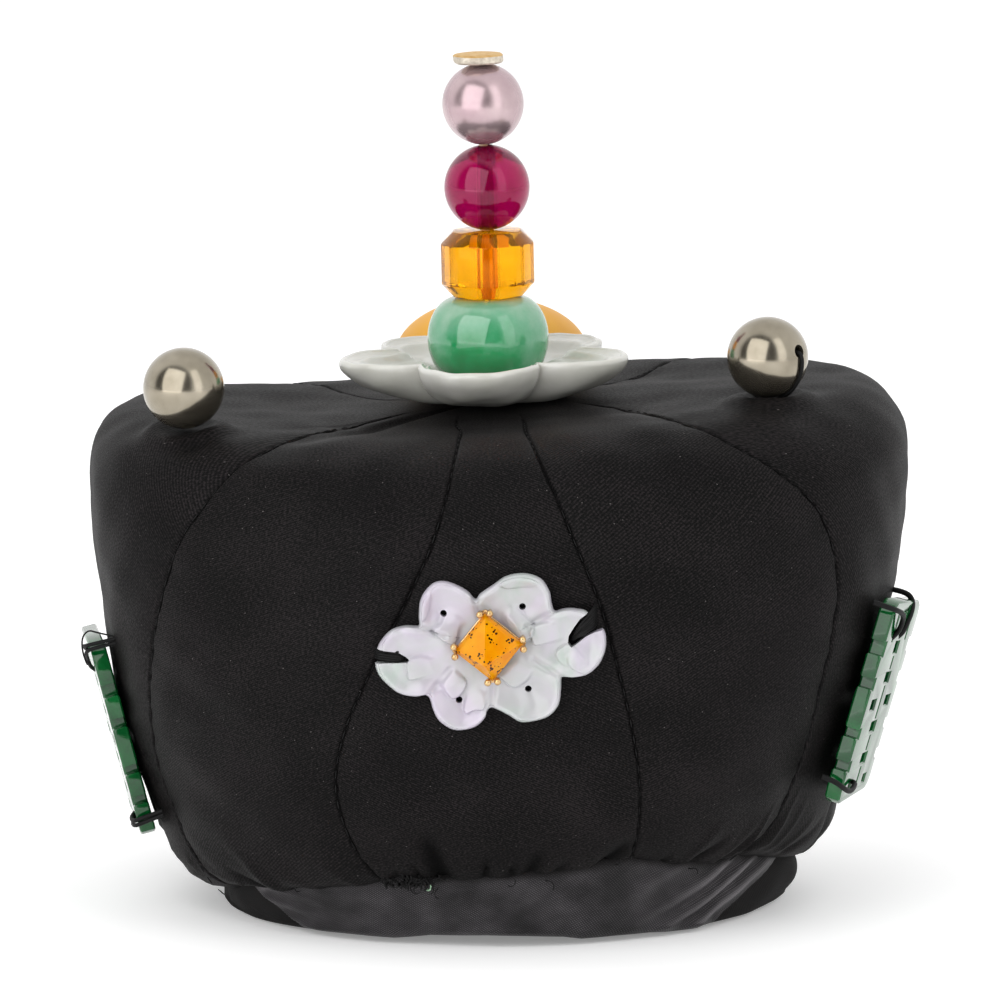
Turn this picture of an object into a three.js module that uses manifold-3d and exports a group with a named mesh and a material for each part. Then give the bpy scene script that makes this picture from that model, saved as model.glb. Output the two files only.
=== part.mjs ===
// A padded satin coronet: an eight-gore cap with a wide crown and a narrow round mouth,
// a petalled jade dish with a stack of beads on top, and stones sewn round its sides.
// Millimetres, +Z up, the front faces -Y.

import * as THREE from 'three';
import { mergeVertices } from 'three/addons/utils/BufferGeometryUtils.js';
import Module from 'manifold-3d';

const wasm = await Module();
wasm.setup();

// Driving dimensions

const clearance = 0.3; // between pieces that touch
const boreRadius = 1.0; // drilled through every bead
const pinRadius = 0.65;
const crownHeight = 73.6; // where the dish sits
const shoulderRise = 2.2; // the sewn cap's right shoulder stands this much higher, its left as much lower
const shoulderStart = 15; // how far from the middle half of that rise is reached
const wallThickness = 6; // satin, cotton wadding and lining together
const seamGroove = 0.9; // how far the cloth dips at a seam
const gatherDepth = 1.3; // height of the gathers at the hem

// The cap's sections from the hem to the crown. A section is a rounded rectangle seen from above
// (squareness 2 is an ellipse), and its edge may run higher at the sides than at the front and back.
// shift moves it along X. innerLeft and innerRight are the azimuths, in degrees from the front, of the
// seams beside the front gore, outerLeft and outerRight of those beside the side gores. The back's
// seams mirror the front's. gather is the share of the gathers' height.
const sections = [
  { sideZ: 4.4, frontZ: 8.4, halfWidth: 44.9, halfDepth: 45.0, squareness: 2.0, shift: -0.5, gather: 1,
    innerLeft: 18.5, innerRight: 27.5, outerLeft: 58, outerRight: 50 },
  { sideZ: 8.4, frontZ: 11.8, halfWidth: 47.4, halfDepth: 47.3, squareness: 2.05, shift: -0.5, gather: 0.75,
    innerLeft: 20.5, innerRight: 26.5, outerLeft: 61, outerRight: 52.5 },
  { sideZ: 14.5, frontZ: 17.2, halfWidth: 50.0, halfDepth: 49.4, squareness: 2.1, shift: -0.5, gather: 0.35,
    innerLeft: 23.2, innerRight: 26, outerLeft: 64.5, outerRight: 56 },
  { sideZ: 23, frontZ: 25, halfWidth: 52.9, halfDepth: 51.2, squareness: 2.2, shift: -0.3, gather: 0.1,
    innerLeft: 24.5, innerRight: 24.8, outerLeft: 64.5, outerRight: 57 },
  { sideZ: 33, frontZ: 33.5, halfWidth: 55.6, halfDepth: 52.2, squareness: 2.3, shift: -0.1, gather: 0,
    innerLeft: 22.5, innerRight: 22.5, outerLeft: 61, outerRight: 56 },
  { sideZ: 43, frontZ: 42.5, halfWidth: 57.6, halfDepth: 52.5, squareness: 2.4, shift: 0.0, gather: 0,
    innerLeft: 18.2, innerRight: 19.8, outerLeft: 56.8, outerRight: 56 },
  { sideZ: 53, frontZ: 51, halfWidth: 59.1, halfDepth: 52.0, squareness: 2.45, shift: 0.1, gather: 0,
    innerLeft: 13.8, innerRight: 17.2, outerLeft: 52.8, outerRight: 56 },
  { sideZ: 62, frontZ: 58.5, halfWidth: 59.7, halfDepth: 50.5, squareness: 2.5, shift: 0.1, gather: 0,
    innerLeft: 10.2, innerRight: 14.3, outerLeft: 49.3, outerRight: 53 },
  { sideZ: 68.2, frontZ: 64.5, halfWidth: 59.5, halfDepth: 47.6, squareness: 2.5, shift: 0.2, gather: 0,
    innerLeft: 8.4, innerRight: 12, outerLeft: 46.5, outerRight: 48 },
  { sideZ: 72.6, frontZ: 69, halfWidth: 57.2, halfDepth: 43.4, squareness: 2.5, shift: 0, gather: 0,
    innerLeft: 7.5, innerRight: 10.5, outerLeft: 45, outerRight: 44 },
  { sideZ: 75.1, frontZ: 71.9, halfWidth: 53.0, halfDepth: 37.8, squareness: 2.45, shift: 0, gather: 0,
    innerLeft: 7.6, innerRight: 9.6, outerLeft: 44.5, outerRight: 41.5 },
  { sideZ: 75.2, frontZ: 73.3, halfWidth: 47.0, halfDepth: 31.0, squareness: 2.4, shift: 0, gather: 0,
    innerLeft: 8.8, innerRight: 9.4, outerLeft: 47, outerRight: 42.5 },
  { sideZ: 74.5, frontZ: 73.7, halfWidth: 36.0, halfDepth: 24.5, squareness: 2.3, shift: 0, gather: 0,
    innerLeft: 11, innerRight: 10.5, outerLeft: 51.5, outerRight: 46.5 },
  { sideZ: 73.7, frontZ: 73.6, halfWidth: 22.0, halfDepth: 17.5, squareness: 2.15, shift: -0.6, gather: 0,
    innerLeft: 16, innerRight: 15, outerLeft: 58, outerRight: 55 },
  { sideZ: 73.6, frontZ: 73.6, halfWidth: 9.0, halfDepth: 8.5, squareness: 2.0, shift: -1.0, gather: 0,
    innerLeft: 21, innerRight: 20, outerLeft: 64, outerRight: 63 },
  { sideZ: 73.6, frontZ: 73.6, halfWidth: 1.6, halfDepth: 1.6, squareness: 2.0, shift: -1.15, gather: 0,
    innerLeft: 22.5, innerRight: 22.5, outerLeft: 67.5, outerRight: 67.5 },
];
const lastRow = sections.length - 1;

// The gores in order round the cap, seen from above and starting at the front, each from one seam to the next.
const gores = [
  { name: 'panel_front', color: 0x1c1a1b, columns: 20 },
  { name: 'panel_front_right', color: 0x1c1a1b, columns: 12 },
  { name: 'panel_right', color: 0x1c1a1b, columns: 20 },
  { name: 'panel_back_right', color: 0x1c1a1b, columns: 12 },
  { name: 'panel_back', color: 0x1c1a1b, columns: 20 },
  { name: 'panel_back_left', color: 0x1c1a1b, columns: 12 },
  { name: 'panel_left', color: 0x1c1a1b, columns: 20 },
  { name: 'panel_front_left', color: 0x1c1a1b, columns: 12 },
];
const columnsPerGather = 4;

// Helpers: vectors, closed meshes and booleans

const radians = THREE.MathUtils.degToRad;
const vector = (x, y, z) => new THREE.Vector3(x, y, z);

function geometryOf(points, triangles) {
  const geometry = new THREE.BufferGeometry();
  geometry.setAttribute('position', new THREE.Float32BufferAttribute(points.flatMap((p) => p.toArray()), 3));
  geometry.setIndex(triangles);
  geometry.computeVertexNormals();
  return geometry;
}

// A closed wall between two grids of points of the same size, outer[row][column] and inner[row][column].
function wallGeometry(outer, inner) {
  const rows = outer.length;
  const columns = outer[0].length;
  const points = [...outer.flat(), ...inner.flat()];
  const triangles = [];
  const at = (side, row, column) => side * rows * columns + row * columns + column;
  const quad = (a, b, c, d) => triangles.push(a, b, c, a, c, d);
  for (let r = 0; r < rows - 1; r++) {
    for (let c = 0; c < columns - 1; c++) {
      quad(at(0, r, c), at(0, r, c + 1), at(0, r + 1, c + 1), at(0, r + 1, c));
      quad(at(1, r, c), at(1, r + 1, c), at(1, r + 1, c + 1), at(1, r, c + 1));
    }
  }
  for (let r = 0; r < rows - 1; r++) {
    quad(at(0, r, 0), at(0, r + 1, 0), at(1, r + 1, 0), at(1, r, 0));
    quad(at(0, r, columns - 1), at(1, r, columns - 1), at(1, r + 1, columns - 1), at(0, r + 1, columns - 1));
  }
  for (let c = 0; c < columns - 1; c++) {
    quad(at(0, 0, c + 1), at(0, 0, c), at(1, 0, c), at(1, 0, c + 1));
    quad(at(0, rows - 1, c), at(0, rows - 1, c + 1), at(1, rows - 1, c + 1), at(1, rows - 1, c));
  }
  return geometryOf(points, triangles);
}

// A closed ring: loopAt gives, for each step round the Z axis, the same number of points,
// listed from the bottom of the inner side outwards and up, as seen from the front.
function ringGeometry(steps, loopAt) {
  const loops = Array.from({ length: steps }, (_, step) => loopAt((step / steps) * 2 * Math.PI));
  const size = loops[0].length;
  const triangles = [];
  for (let s = 0; s < steps; s++) {
    for (let k = 0; k < size; k++) {
      const a = s * size + k;
      const b = ((s + 1) % steps) * size + k;
      const c = ((s + 1) % steps) * size + ((k + 1) % size);
      const d = s * size + ((k + 1) % size);
      triangles.push(a, b, c, a, c, d);
    }
  }
  return geometryOf(loops.flat(), triangles);
}

function solidOf(geometry) {
  const bare = geometry.clone();
  bare.deleteAttribute('normal');
  bare.deleteAttribute('uv');
  const merged = mergeVertices(bare, 1e-4);
  return new wasm.Manifold(
    new wasm.Mesh({
      numProp: 3,
      vertProperties: new Float32Array(merged.attributes.position.array),
      triVerts: new Uint32Array(merged.index.array),
    }),
  );
}

function geometryFrom(solid) {
  const mesh = solid.getMesh();
  const geometry = new THREE.BufferGeometry();
  geometry.setAttribute('position', new THREE.BufferAttribute(new Float32Array(mesh.vertProperties), 3));
  geometry.setIndex(new THREE.BufferAttribute(new Uint32Array(mesh.triVerts), 1));
  geometry.computeVertexNormals();
  return geometry;
}

// A lathe about Z from a profile of [radius, z] points, listed from the bottom up.
function turned(profile, sides) {
  const geometry = new THREE.LatheGeometry(profile.map(([radius, z]) => new THREE.Vector2(radius, z)), sides);
  return geometry.rotateX(Math.PI / 2);
}

function mesh(name, geometry, color, roughness, metalness = 0) {
  const made = new THREE.Mesh(geometry, new THREE.MeshStandardMaterial({ color, roughness, metalness }));
  made.name = name;
  return made;
}

// The cap's surface

// Catmull-Rom through the sections, so that a row may lie between two of them.
function sectionAt(row) {
  const k = Math.min(Math.floor(row), lastRow - 1);
  const t = row - k;
  const rows = [k - 1, k, k + 1, k + 2].map((i) => sections[THREE.MathUtils.clamp(i, 0, lastRow)]);
  const blended = {};
  for (const column of Object.keys(sections[0])) {
    const [p0, p1, p2, p3] = rows.map((r) => r[column]);
    const bend = 2 * p0 - 5 * p1 + 4 * p2 - p3 + (3 * p1 - p0 - 3 * p2 + p3) * t;
    blended[column] = p1 + 0.5 * t * (p2 - p0 + t * bend);
  }
  return blended;
}

// azimuth is in radians from the front, towards +X.
function capPoint(row, azimuth) {
  const s = sectionAt(row);
  const across = Math.sin(azimuth);
  const along = Math.cos(azimuth);
  const reach = (Math.abs(across) / s.halfWidth) ** s.squareness + (Math.abs(along) / s.halfDepth) ** s.squareness;
  const radius = reach ** (-1 / s.squareness);
  const level = s.frontZ + (s.sideZ - s.frontZ) * across ** 2;
  const x = radius * across;
  const rise = (shoulderRise * x * Math.abs(x)) / (x ** 2 + shoulderStart ** 2);
  return vector(x + s.shift, -radius * along, level + (rise * level) / crownHeight);
}

// The cap's point, outward normal and direction of growing azimuth at a place.
function capPlace(row, azimuth) {
  const step = 0.02;
  const below = capPoint(Math.max(row - step, 0), azimuth);
  const above = capPoint(Math.min(row + step, lastRow), azimuth);
  const before = capPoint(row, azimuth - step);
  const tangent = capPoint(row, azimuth + step).sub(before).normalize();
  const normal = tangent.clone().cross(above.sub(below)).normalize();
  return { point: capPoint(row, azimuth), normal, tangent };
}

// The azimuths of the eight seams at a row. Seam 0 is to the left of the front gore.
function seamAzimuth(seam, row) {
  const { innerLeft, innerRight, outerLeft, outerRight } = sectionAt(row);
  const front = [-innerLeft, innerRight, outerRight, 180 - outerRight];
  const back = [180 - innerRight, 180 + innerLeft, 180 + outerLeft, 360 - outerLeft];
  return radians([...front, ...back][seam]);
}

// The cap's gores

function goreGeometry(index) {
  const { columns } = gores[index];
  const gathers = columns / columnsPerGather;
  const outer = [];
  const inner = [];
  for (let row = 0; row <= lastRow; row++) {
    const from = seamAzimuth(index, row);
    const to = index === gores.length - 1 ? seamAzimuth(0, row) + 2 * Math.PI : seamAzimuth(index + 1, row);
    const outerRow = [];
    const innerRow = [];
    for (let column = 0; column <= columns; column++) {
      const share = column / columns;
      const { point, normal, tangent } = capPlace(row, THREE.MathUtils.lerp(from, to, share));
      if (column === 0) point.addScaledVector(tangent, clearance / 2);
      if (column === columns) point.addScaledVector(tangent, -clearance / 2);
      const dip = row < lastRow - 2 ? seamGroove * Math.abs(2 * share - 1) ** 6 : 0;
      const fold = sections[row].gather * gatherDepth * 0.5 * (1 + Math.cos(2 * Math.PI * gathers * share));
      outerRow.push(point.clone().addScaledVector(normal, -dip - fold));
      innerRow.push(point.clone().addScaledVector(normal, -wallThickness));
    }
    outer.push(outerRow);
    inner.push(innerRow);
  }
  return wallGeometry(outer, inner);
}

// The hem band

const hem = { footRadius: 40.4, footWidth: 4.2, bulge: 0.9, inset: 1.6, thickness: 3.4, steps: 64 };

// The band's top face lies a clearance below the gores' lower edges, which slope up towards the inside.
function hemBand() {
  const geometry = ringGeometry(hem.steps, (azimuth) => {
    const { point, normal, tangent } = capPlace(0, azimuth);
    const drop = normal.clone().cross(tangent).multiplyScalar(-clearance);
    const top = point.clone().add(drop).addScaledVector(normal, -hem.inset);
    const topInside = top.clone().addScaledVector(normal, -hem.thickness);
    const outward = vector(Math.sin(azimuth), -Math.cos(azimuth), 0);
    const foot = outward.clone().multiplyScalar(hem.footRadius);
    const footInside = outward.clone().multiplyScalar(hem.footRadius - hem.footWidth);
    const between = (share) => foot.clone().lerp(top, share).addScaledVector(outward, hem.bulge);
    return [footInside, foot, between(0.3), between(0.7), top, topInside];
  });
  return mesh('hem_band', geometry, 0x38373a, 0.75);
}

// Beads and stones turned on a lathe

function roundProfile(radius, halfHeight, bore, rows) {
  const start = Math.acos(bore / radius);
  const profile = [];
  for (let k = 0; k <= rows; k++) {
    const angle = THREE.MathUtils.lerp(-start, start, k / rows);
    profile.push([radius * Math.cos(angle), halfHeight * Math.sin(angle)]);
  }
  profile.push(profile[0]);
  return profile;
}

const beadSides = 16;

function roundBead(name, radius, color, roughness) {
  return mesh(name, turned(roundProfile(radius, radius, boreRadius, 10), beadSides), color, roughness);
}

// The stack, from the dish up. Each bead stands a clearance above the one below.
const stack = {
  leanDegrees: 1.4, // to the left, as the sewn crown carries it
  shift: -1.15, // along X, where the crown's seams meet
  jadeRadius: 8.7,
  jadeHeight: 11.6,
  amberWidth: 13.7,
  amberHeight: 10.2,
  amberBevel: 2.4,
  rubyRadius: 6.2,
  pearlRadius: 6.05,
  discRadius: 3.6,
  discHeight: 1.1,
};

function jadeBead() {
  const half = stack.jadeHeight / 2;
  const flat = stack.jadeRadius * 0.52; // where the bead's flat ends begin
  const profile = [[boreRadius, -half], [flat, -half]];
  const rows = 8;
  for (let k = 1; k < rows; k++) {
    const angle = THREE.MathUtils.lerp(-Math.PI / 2, Math.PI / 2, k / rows);
    profile.push([flat + (stack.jadeRadius - flat) * Math.cos(angle), half * Math.sin(angle)]);
  }
  profile.push([flat, half], [boreRadius, half], [boreRadius, -half]);
  return mesh('jade_bead', turned(profile, beadSides), 0x3f9a68, 0.15);
}

function amberBead() {
  const half = stack.amberHeight / 2;
  const corner = stack.amberWidth / 2 / Math.cos(Math.PI / 8);
  const end = corner - stack.amberBevel;
  const wall = half - stack.amberBevel * 0.75;
  const profile = [[boreRadius, -half], [end, -half], [corner, -wall], [corner, wall], [end, half], [boreRadius, half]];
  profile.push(profile[0]);
  return mesh('amber_bead', turned(profile, 8).rotateZ(Math.PI / 8), 0xe89a12, 0.1);
}

function topDisc(bottom) {
  const blind = bottom + 0.7; // the pin ends inside the disc
  const top = bottom + stack.discHeight;
  const seat = pinRadius + clearance;
  const profile = [
    [seat, bottom],
    [stack.discRadius, bottom],
    [stack.discRadius, top],
    [0, top],
    [0, blind],
    [seat, blind],
    [seat, bottom],
  ];
  return mesh('top_disc', turned(profile.slice(4, 6).concat(profile.slice(0, 4)), beadSides), 0xd9b26a, 0.4, 0.8);
}

function stackPin(low, high) {
  const head = { radius: 3, height: 0.8 };
  const profile = [[0, low], [head.radius, low], [head.radius, low + head.height], [pinRadius, low + head.height], [pinRadius, high], [0, high]];
  return mesh('stack_pin', turned(profile, 10), 0xb08a45, 0.4, 0.9);
}

// The dish: five petals, each a scoop with a raised rim, on a small flat foot.
const dish = {
  petals: 5,
  turnDegrees: -4, // the front petal points a little to the left
  shift: -0.5, // it lies a little to the left on the pin
  holeRadius: 1.4,
  tipRadius: 22.2,
  notchRadius: 15.2,
  footRadius: 7,
  height: 6.8,
  thickness: 2.6,
  steps: 60,
  shares: [0, 0.34, 0.6, 0.8, 0.93, 1], // rows from the hole to the rim
};

function dishGeometry(floor) {
  return ringGeometry(dish.steps, (azimuth) => {
    const petal = Math.abs(Math.cos((dish.petals / 2) * (azimuth - radians(dish.turnDegrees)))) ** 0.9;
    const rim = THREE.MathUtils.lerp(dish.notchRadius, dish.tipRadius, petal);
    const direction = vector(Math.sin(azimuth), -Math.cos(azimuth), 0);
    const bowl = (share) => floor + dish.thickness + (dish.height - dish.thickness) * (0.8 + 0.2 * petal) * share ** 2.4;
    const upper = dish.shares.map((share) => {
      const radius = THREE.MathUtils.lerp(dish.holeRadius, rim, share);
      return direction.clone().multiplyScalar(radius).setZ(bowl(share) - 0.25 * (1 - petal) * share);
    });
    const lower = dish.shares.map((share) => {
      const radius = THREE.MathUtils.lerp(dish.holeRadius, rim * 0.985, share);
      const rise = Math.max(0, (radius - dish.footRadius) / (dish.tipRadius - dish.footRadius)) ** 1.5;
      return direction.clone().multiplyScalar(radius).setZ(floor + (dish.height - 1.5) * rise * (0.55 + 0.45 * petal));
    });
    return [...lower, ...upper.reverse()];
  });
}

// Levels in the stack are measured from the crown, where it also leans.
function stackGroup() {
  const group = new THREE.Group();
  group.add(mesh('jade_dish', dishGeometry(clearance).translate(dish.shift, 0, 0), 0xb9bab2, 0.25));
  let level = dish.thickness + 2 * clearance;
  const stand = (bead, height) => {
    bead.position.z = level + height / 2;
    level += height + clearance;
    group.add(bead);
  };
  stand(jadeBead(), stack.jadeHeight);
  stand(amberBead(), stack.amberHeight);
  const ball = (radius) => 2 * Math.sqrt(radius ** 2 - boreRadius ** 2);
  stand(roundBead('ruby_bead', stack.rubyRadius, 0x8e1040, 0.1), ball(stack.rubyRadius));
  stand(roundBead('pink_pearl', stack.pearlRadius, 0xd6b4bc, 0.25), ball(stack.pearlRadius));
  group.add(topDisc(level));
  group.add(stackPin(-wallThickness - clearance - 0.8, level + 0.4));
  group.position.set(stack.shift, 0, crownHeight);
  group.rotation.y = -radians(stack.leanDegrees);
  return group;
}

// What is sewn on the cap's surface

// A group whose +Z is the cap's outward normal at a row and azimuth, whose +Y points up the cap,
// and whose origin lies a clearance off the cloth.
function seatedGroup({ row, azimuth, lift = 0, pitch = 0, turn = 0, roll = 0 }) {
  const group = new THREE.Group();
  const { point, normal } = capPlace(row, radians(azimuth));
  const side = vector(0, 0, 1).cross(normal).normalize();
  const up = normal.clone().cross(side);
  group.quaternion.setFromRotationMatrix(new THREE.Matrix4().makeBasis(side, up, normal));
  group.rotateY(radians(turn));
  group.rotateX(radians(pitch));
  group.rotateZ(radians(roll));
  group.position.copy(point.addScaledVector(normal, clearance + lift));
  return group;
}

// Shoulder pearls. boreAxis is the way that the drilling runs, in the part's frame.
const shoulderPearls = [
  { name: 'pearl_left', row: 10.2, azimuth: -62.5, boreAxis: vector(-0.3, 0.75, 0.6) },
  { name: 'pearl_right', row: 11, azimuth: 64, boreAxis: vector(0.78, -0.58, 0.23) },
];
const shoulderPearlRadius = 5.9;

function shoulderPearl({ name, row, azimuth, boreAxis }) {
  const pearl = roundBead(name, shoulderPearlRadius, 0x9b927f, 0.15);
  const { point, normal } = capPlace(row, radians(azimuth));
  pearl.position.copy(point.addScaledVector(normal, shoulderPearlRadius + clearance));
  pearl.quaternion.setFromUnitVectors(vector(0, 0, 1), boreAxis.clone().normalize());
  return pearl;
}

// The honey-coloured stone on the back rim: a thick, rounded oval, flatter underneath.
const backStone = { radius: 14.5, dome: 8.5, belly: 2.6, row: 10.1, azimuth: 182.8, rows: 6, sides: 28 };

function backStoneMesh() {
  const profile = [];
  for (let k = 0; k <= 2 * backStone.rows; k++) {
    const angle = THREE.MathUtils.lerp(-Math.PI / 2, Math.PI / 2, k / (2 * backStone.rows));
    const rise = angle < 0 ? backStone.belly : backStone.dome;
    const radius = k === 0 || k === 2 * backStone.rows ? 0 : backStone.radius * Math.cos(angle);
    profile.push([radius, backStone.belly + rise * Math.sin(angle)]);
  }
  const group = seatedGroup(backStone);
  group.add(mesh('back_stone', turned(profile, backStone.sides), 0xdfa340, 0.45));
  return group;
}

// The front plaque: six rounded petals round a square stone. The outline runs clockwise, seen from
// the front, from the notch above the stone, and its places are measured from the stone's centre.
const plaque = {
  row: 5.5,
  azimuth: 0.25,
  pitch: 2,
  thickness: 2.6,
  edge: 0.5, // the outline's rounded rim
  outline: [
    // upper right petal
    [-1.83, 6.52], [-1.32, 7.23], [0.51, 8.5], [2.28, 9.7], [4.31, 10.15], [6.09, 9.95], [7.61, 9.14],
    [8.58, 7.49], [8.88, 5.84],
    // right petal, with its open slot
    [9.39, 4.77], [10.91, 5.13], [12.44, 5.08], [14.01, 4.62], [12.94, 3.81], [12.06, 2.54], [11.29, 1.27],
    [11.17, 0.25], [11.68, -0.33], [12.31, 0.0], [13.7, 1.14], [14.97, 1.78], [16.2, 2.23], [16.62, 0.51],
    [16.37, -1.27], [15.48, -3.05], [13.96, -4.31], [12.18, -4.7], [10.66, -4.64],
    // lower right petal
    [10.28, -4.95], [10.2, -6.6], [9.9, -8.63], [8.76, -10.15], [7.1, -10.91], [4.57, -11.24], [2.79, -10.28],
    [1.02, -9.39],
    // lower left petal
    [0.2, -9.19], [-0.38, -9.77], [-0.63, -10.66], [-1.78, -11.8], [-3.55, -12.39], [-5.33, -12.31],
    [-7.11, -11.17], [-7.99, -9.64], [-8.5, -7.99],
    // left petal, with its open slot
    [-9.14, -7.41], [-10.66, -7.61], [-12.69, -7.23], [-14.21, -6.22], [-15.74, -4.57], [-16.29, -2.79],
    [-12.94, -2.74], [-11.68, -2.69], [-11.37, -2.28], [-11.93, -1.83], [-12.94, -1.27], [-15.99, -0.71],
    [-15.2, 0.76], [-13.83, 2.03], [-11.93, 2.54],
    // upper left petal
    [-10.15, 2.54], [-10.08, 4.06], [-9.9, 6.09], [-9.14, 7.61], [-7.87, 8.76], [-6.35, 8.96], [-4.57, 8.38],
    [-3.05, 7.49], [-2.28, 6.6],
  ],
  holes: [[-6.52, 4.39], [4.7, 5.41], [5.53, -6.47], [-4.31, -8.05]],
  holeRadius: 0.5,
};

function plaqueGeometry() {
  const { edge, thickness, holeRadius } = plaque;
  const corners = plaque.outline.map(([x, y]) => new THREE.Vector2(x, y)).reverse();
  const shape = new THREE.Shape(corners);
  for (const [x, y] of plaque.holes) {
    const round = Array.from({ length: 10 }, (_, k) => (-k / 10) * 2 * Math.PI);
    const circle = round.map((turn) => new THREE.Vector2(x + holeRadius * Math.cos(turn), y + holeRadius * Math.sin(turn)));
    shape.holes.push(new THREE.Path(circle));
  }
  const options = { depth: thickness - 2 * edge, bevelSize: edge, bevelThickness: edge, bevelOffset: -edge, bevelSegments: 2 };
  return new THREE.ExtrudeGeometry(shape, options).translate(0, 0, edge);
}

// The square stone and its claws, both turned a little off the diagonal.
const jewel = {
  side: 6.95,
  turn: 51.7,
  girdle: 0.9,
  crown: 3.3,
  bevel: 0.9,
  table: 1.1,
  tableX: -0.3, // the table lies low and a little left of the middle
  tableY: -1.4,
  frameHeight: 1.0,
  frameWidth: 1.2,
  clawRadius: 0.3,
  clawBead: 0.46,
  clawOut: 0.8, // from the stone's side
  clawIn: 0.17, // from its corner
};

function stoneGeometry(floor) {
  const reach = (side) => side / Math.SQRT2; // from the centre of a square to its corner
  const bevelled = jewel.side - 2 * jewel.bevel * 0.55;
  const profile = [
    [0, floor],
    [reach(jewel.side - 1.2), floor],
    [reach(jewel.side), floor + 0.5],
    [reach(jewel.side), floor + 0.5 + jewel.girdle * 0.5],
    [reach(bevelled), floor + 0.5 + jewel.girdle * 0.5 + jewel.bevel],
    [reach(jewel.table), floor + jewel.crown],
    [0, floor + jewel.crown],
  ];
  const geometry = turned(profile, 4).rotateZ(Math.PI / 4);
  const table = vector(jewel.tableX, jewel.tableY, 0).applyAxisAngle(vector(0, 0, 1), -radians(jewel.turn));
  const points = geometry.attributes.position;
  for (let i = 0; i < points.count; i++) {
    if (points.getZ(i) < floor + jewel.crown - 0.01) continue;
    points.setXY(i, points.getX(i) + table.x, points.getY(i) + table.y);
  }
  geometry.computeVertexNormals();
  return geometry;
}

function settingGeometry(floor) {
  const half = jewel.side / 2;
  const square = (size) => [
    new THREE.Vector2(-size, -size),
    new THREE.Vector2(size, -size),
    new THREE.Vector2(size, size),
    new THREE.Vector2(-size, size),
  ];
  const frame = new THREE.Shape(square(half + 0.15));
  frame.holes.push(new THREE.Path(square(half + 0.15 - jewel.frameWidth).reverse()));
  let solid = solidOf(new THREE.ExtrudeGeometry(frame, { depth: jewel.frameHeight, bevelEnabled: false }).translate(0, 0, floor));
  const top = floor + jewel.frameHeight + clearance + 1.5;
  for (let corner = 0; corner < 4; corner++) {
    const turn = (corner * Math.PI) / 2;
    const lug = new THREE.CylinderGeometry(0.95, 0.95, jewel.frameHeight, 12).rotateX(Math.PI / 2);
    const middle = floor + jewel.frameHeight / 2;
    solid = solid.add(solidOf(lug.translate(half + 0.15, half + 0.15, middle).rotateZ(turn)));
    for (const side of [0, 1]) {
      const [near, far] = [half - jewel.clawIn, half + jewel.clawOut];
      const [x, y] = side ? [far, near] : [near, far];
      const claw = new THREE.CylinderGeometry(jewel.clawRadius, jewel.clawRadius, top - floor, 8).rotateX(Math.PI / 2);
      const bead = new THREE.SphereGeometry(jewel.clawBead, 8, 6);
      const place = (piece, height) => piece.translate(x, y, height).rotateZ(turn);
      solid = solid.add(solidOf(place(claw, (top + floor) / 2))).add(solidOf(place(bead, top)));
    }
  }
  return geometryFrom(solid);
}

function plaqueGroup() {
  const group = seatedGroup(plaque);
  group.add(mesh('flower_plaque', plaqueGeometry(), 0xd4d6d2, 0.2));
  const jewelGroup = new THREE.Group();
  const floor = plaque.thickness + clearance;
  jewelGroup.add(mesh('stone_setting', settingGeometry(floor), 0xd0a75a, 0.25, 1));
  jewelGroup.add(mesh('amber_stone', stoneGeometry(floor + jewel.frameHeight + clearance), 0xe08a10, 0.1));
  jewelGroup.rotation.z = radians(jewel.turn);
  group.add(jewelGroup);
  return group;
}

// The side plates: a fret of two mirrored columns, with notched edges, windows and a split down the middle.
const fret = {
  width: 23,
  height: 31,
  thickness: 2.3,
  bevel: 0.25,
  cornerCut: 2.2,
  notchDepth: 1.7,
  notches: [
    { from: 7.2, to: 9.3 },
    { from: 2.1, to: 3.7 },
    { from: -5.4, to: -4.0 },
    { from: -10.4, to: -9.0 },
  ],
  // x is the window's centre. A window off the middle is mirrored.
  windows: [
    { x: 0, y: 8.2, width: 3.6, height: 1.7 },
    { x: 0, y: 3.4, width: 4.4, height: 1.5 },
    { x: 5.8, y: -0.6, width: 4.0, height: 1.5 },
    { x: 0, y: -4.4, width: 4.4, height: 1.5 },
    { x: 0, y: -9.4, width: 4.4, height: 1.5 },
    { x: 5.8, y: 11.2, width: 0.7, height: 3.6 },
    { x: 5.6, y: -13.2, width: 2.6, height: 1.2 },
  ],
  slits: [
    { from: 9.8, to: 13.6 },
    { from: 4.9, to: 6.6 },
    { from: -2.9, to: 1.9 },
    { from: -7.9, to: -5.9 },
    { from: -13.9, to: -10.9 },
  ],
  slitWidth: 0.7,
};

const sidePlates = [
  { name: 'fret_plate_left', row: 3.5, azimuth: -82, turn: 0, pitch: 0, roll: 0.5, taper: 0 },
  { name: 'fret_plate_right', row: 3.95, azimuth: 74, turn: 3.8, pitch: 0.6, roll: -6.5, taper: 0.003 },
];

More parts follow.
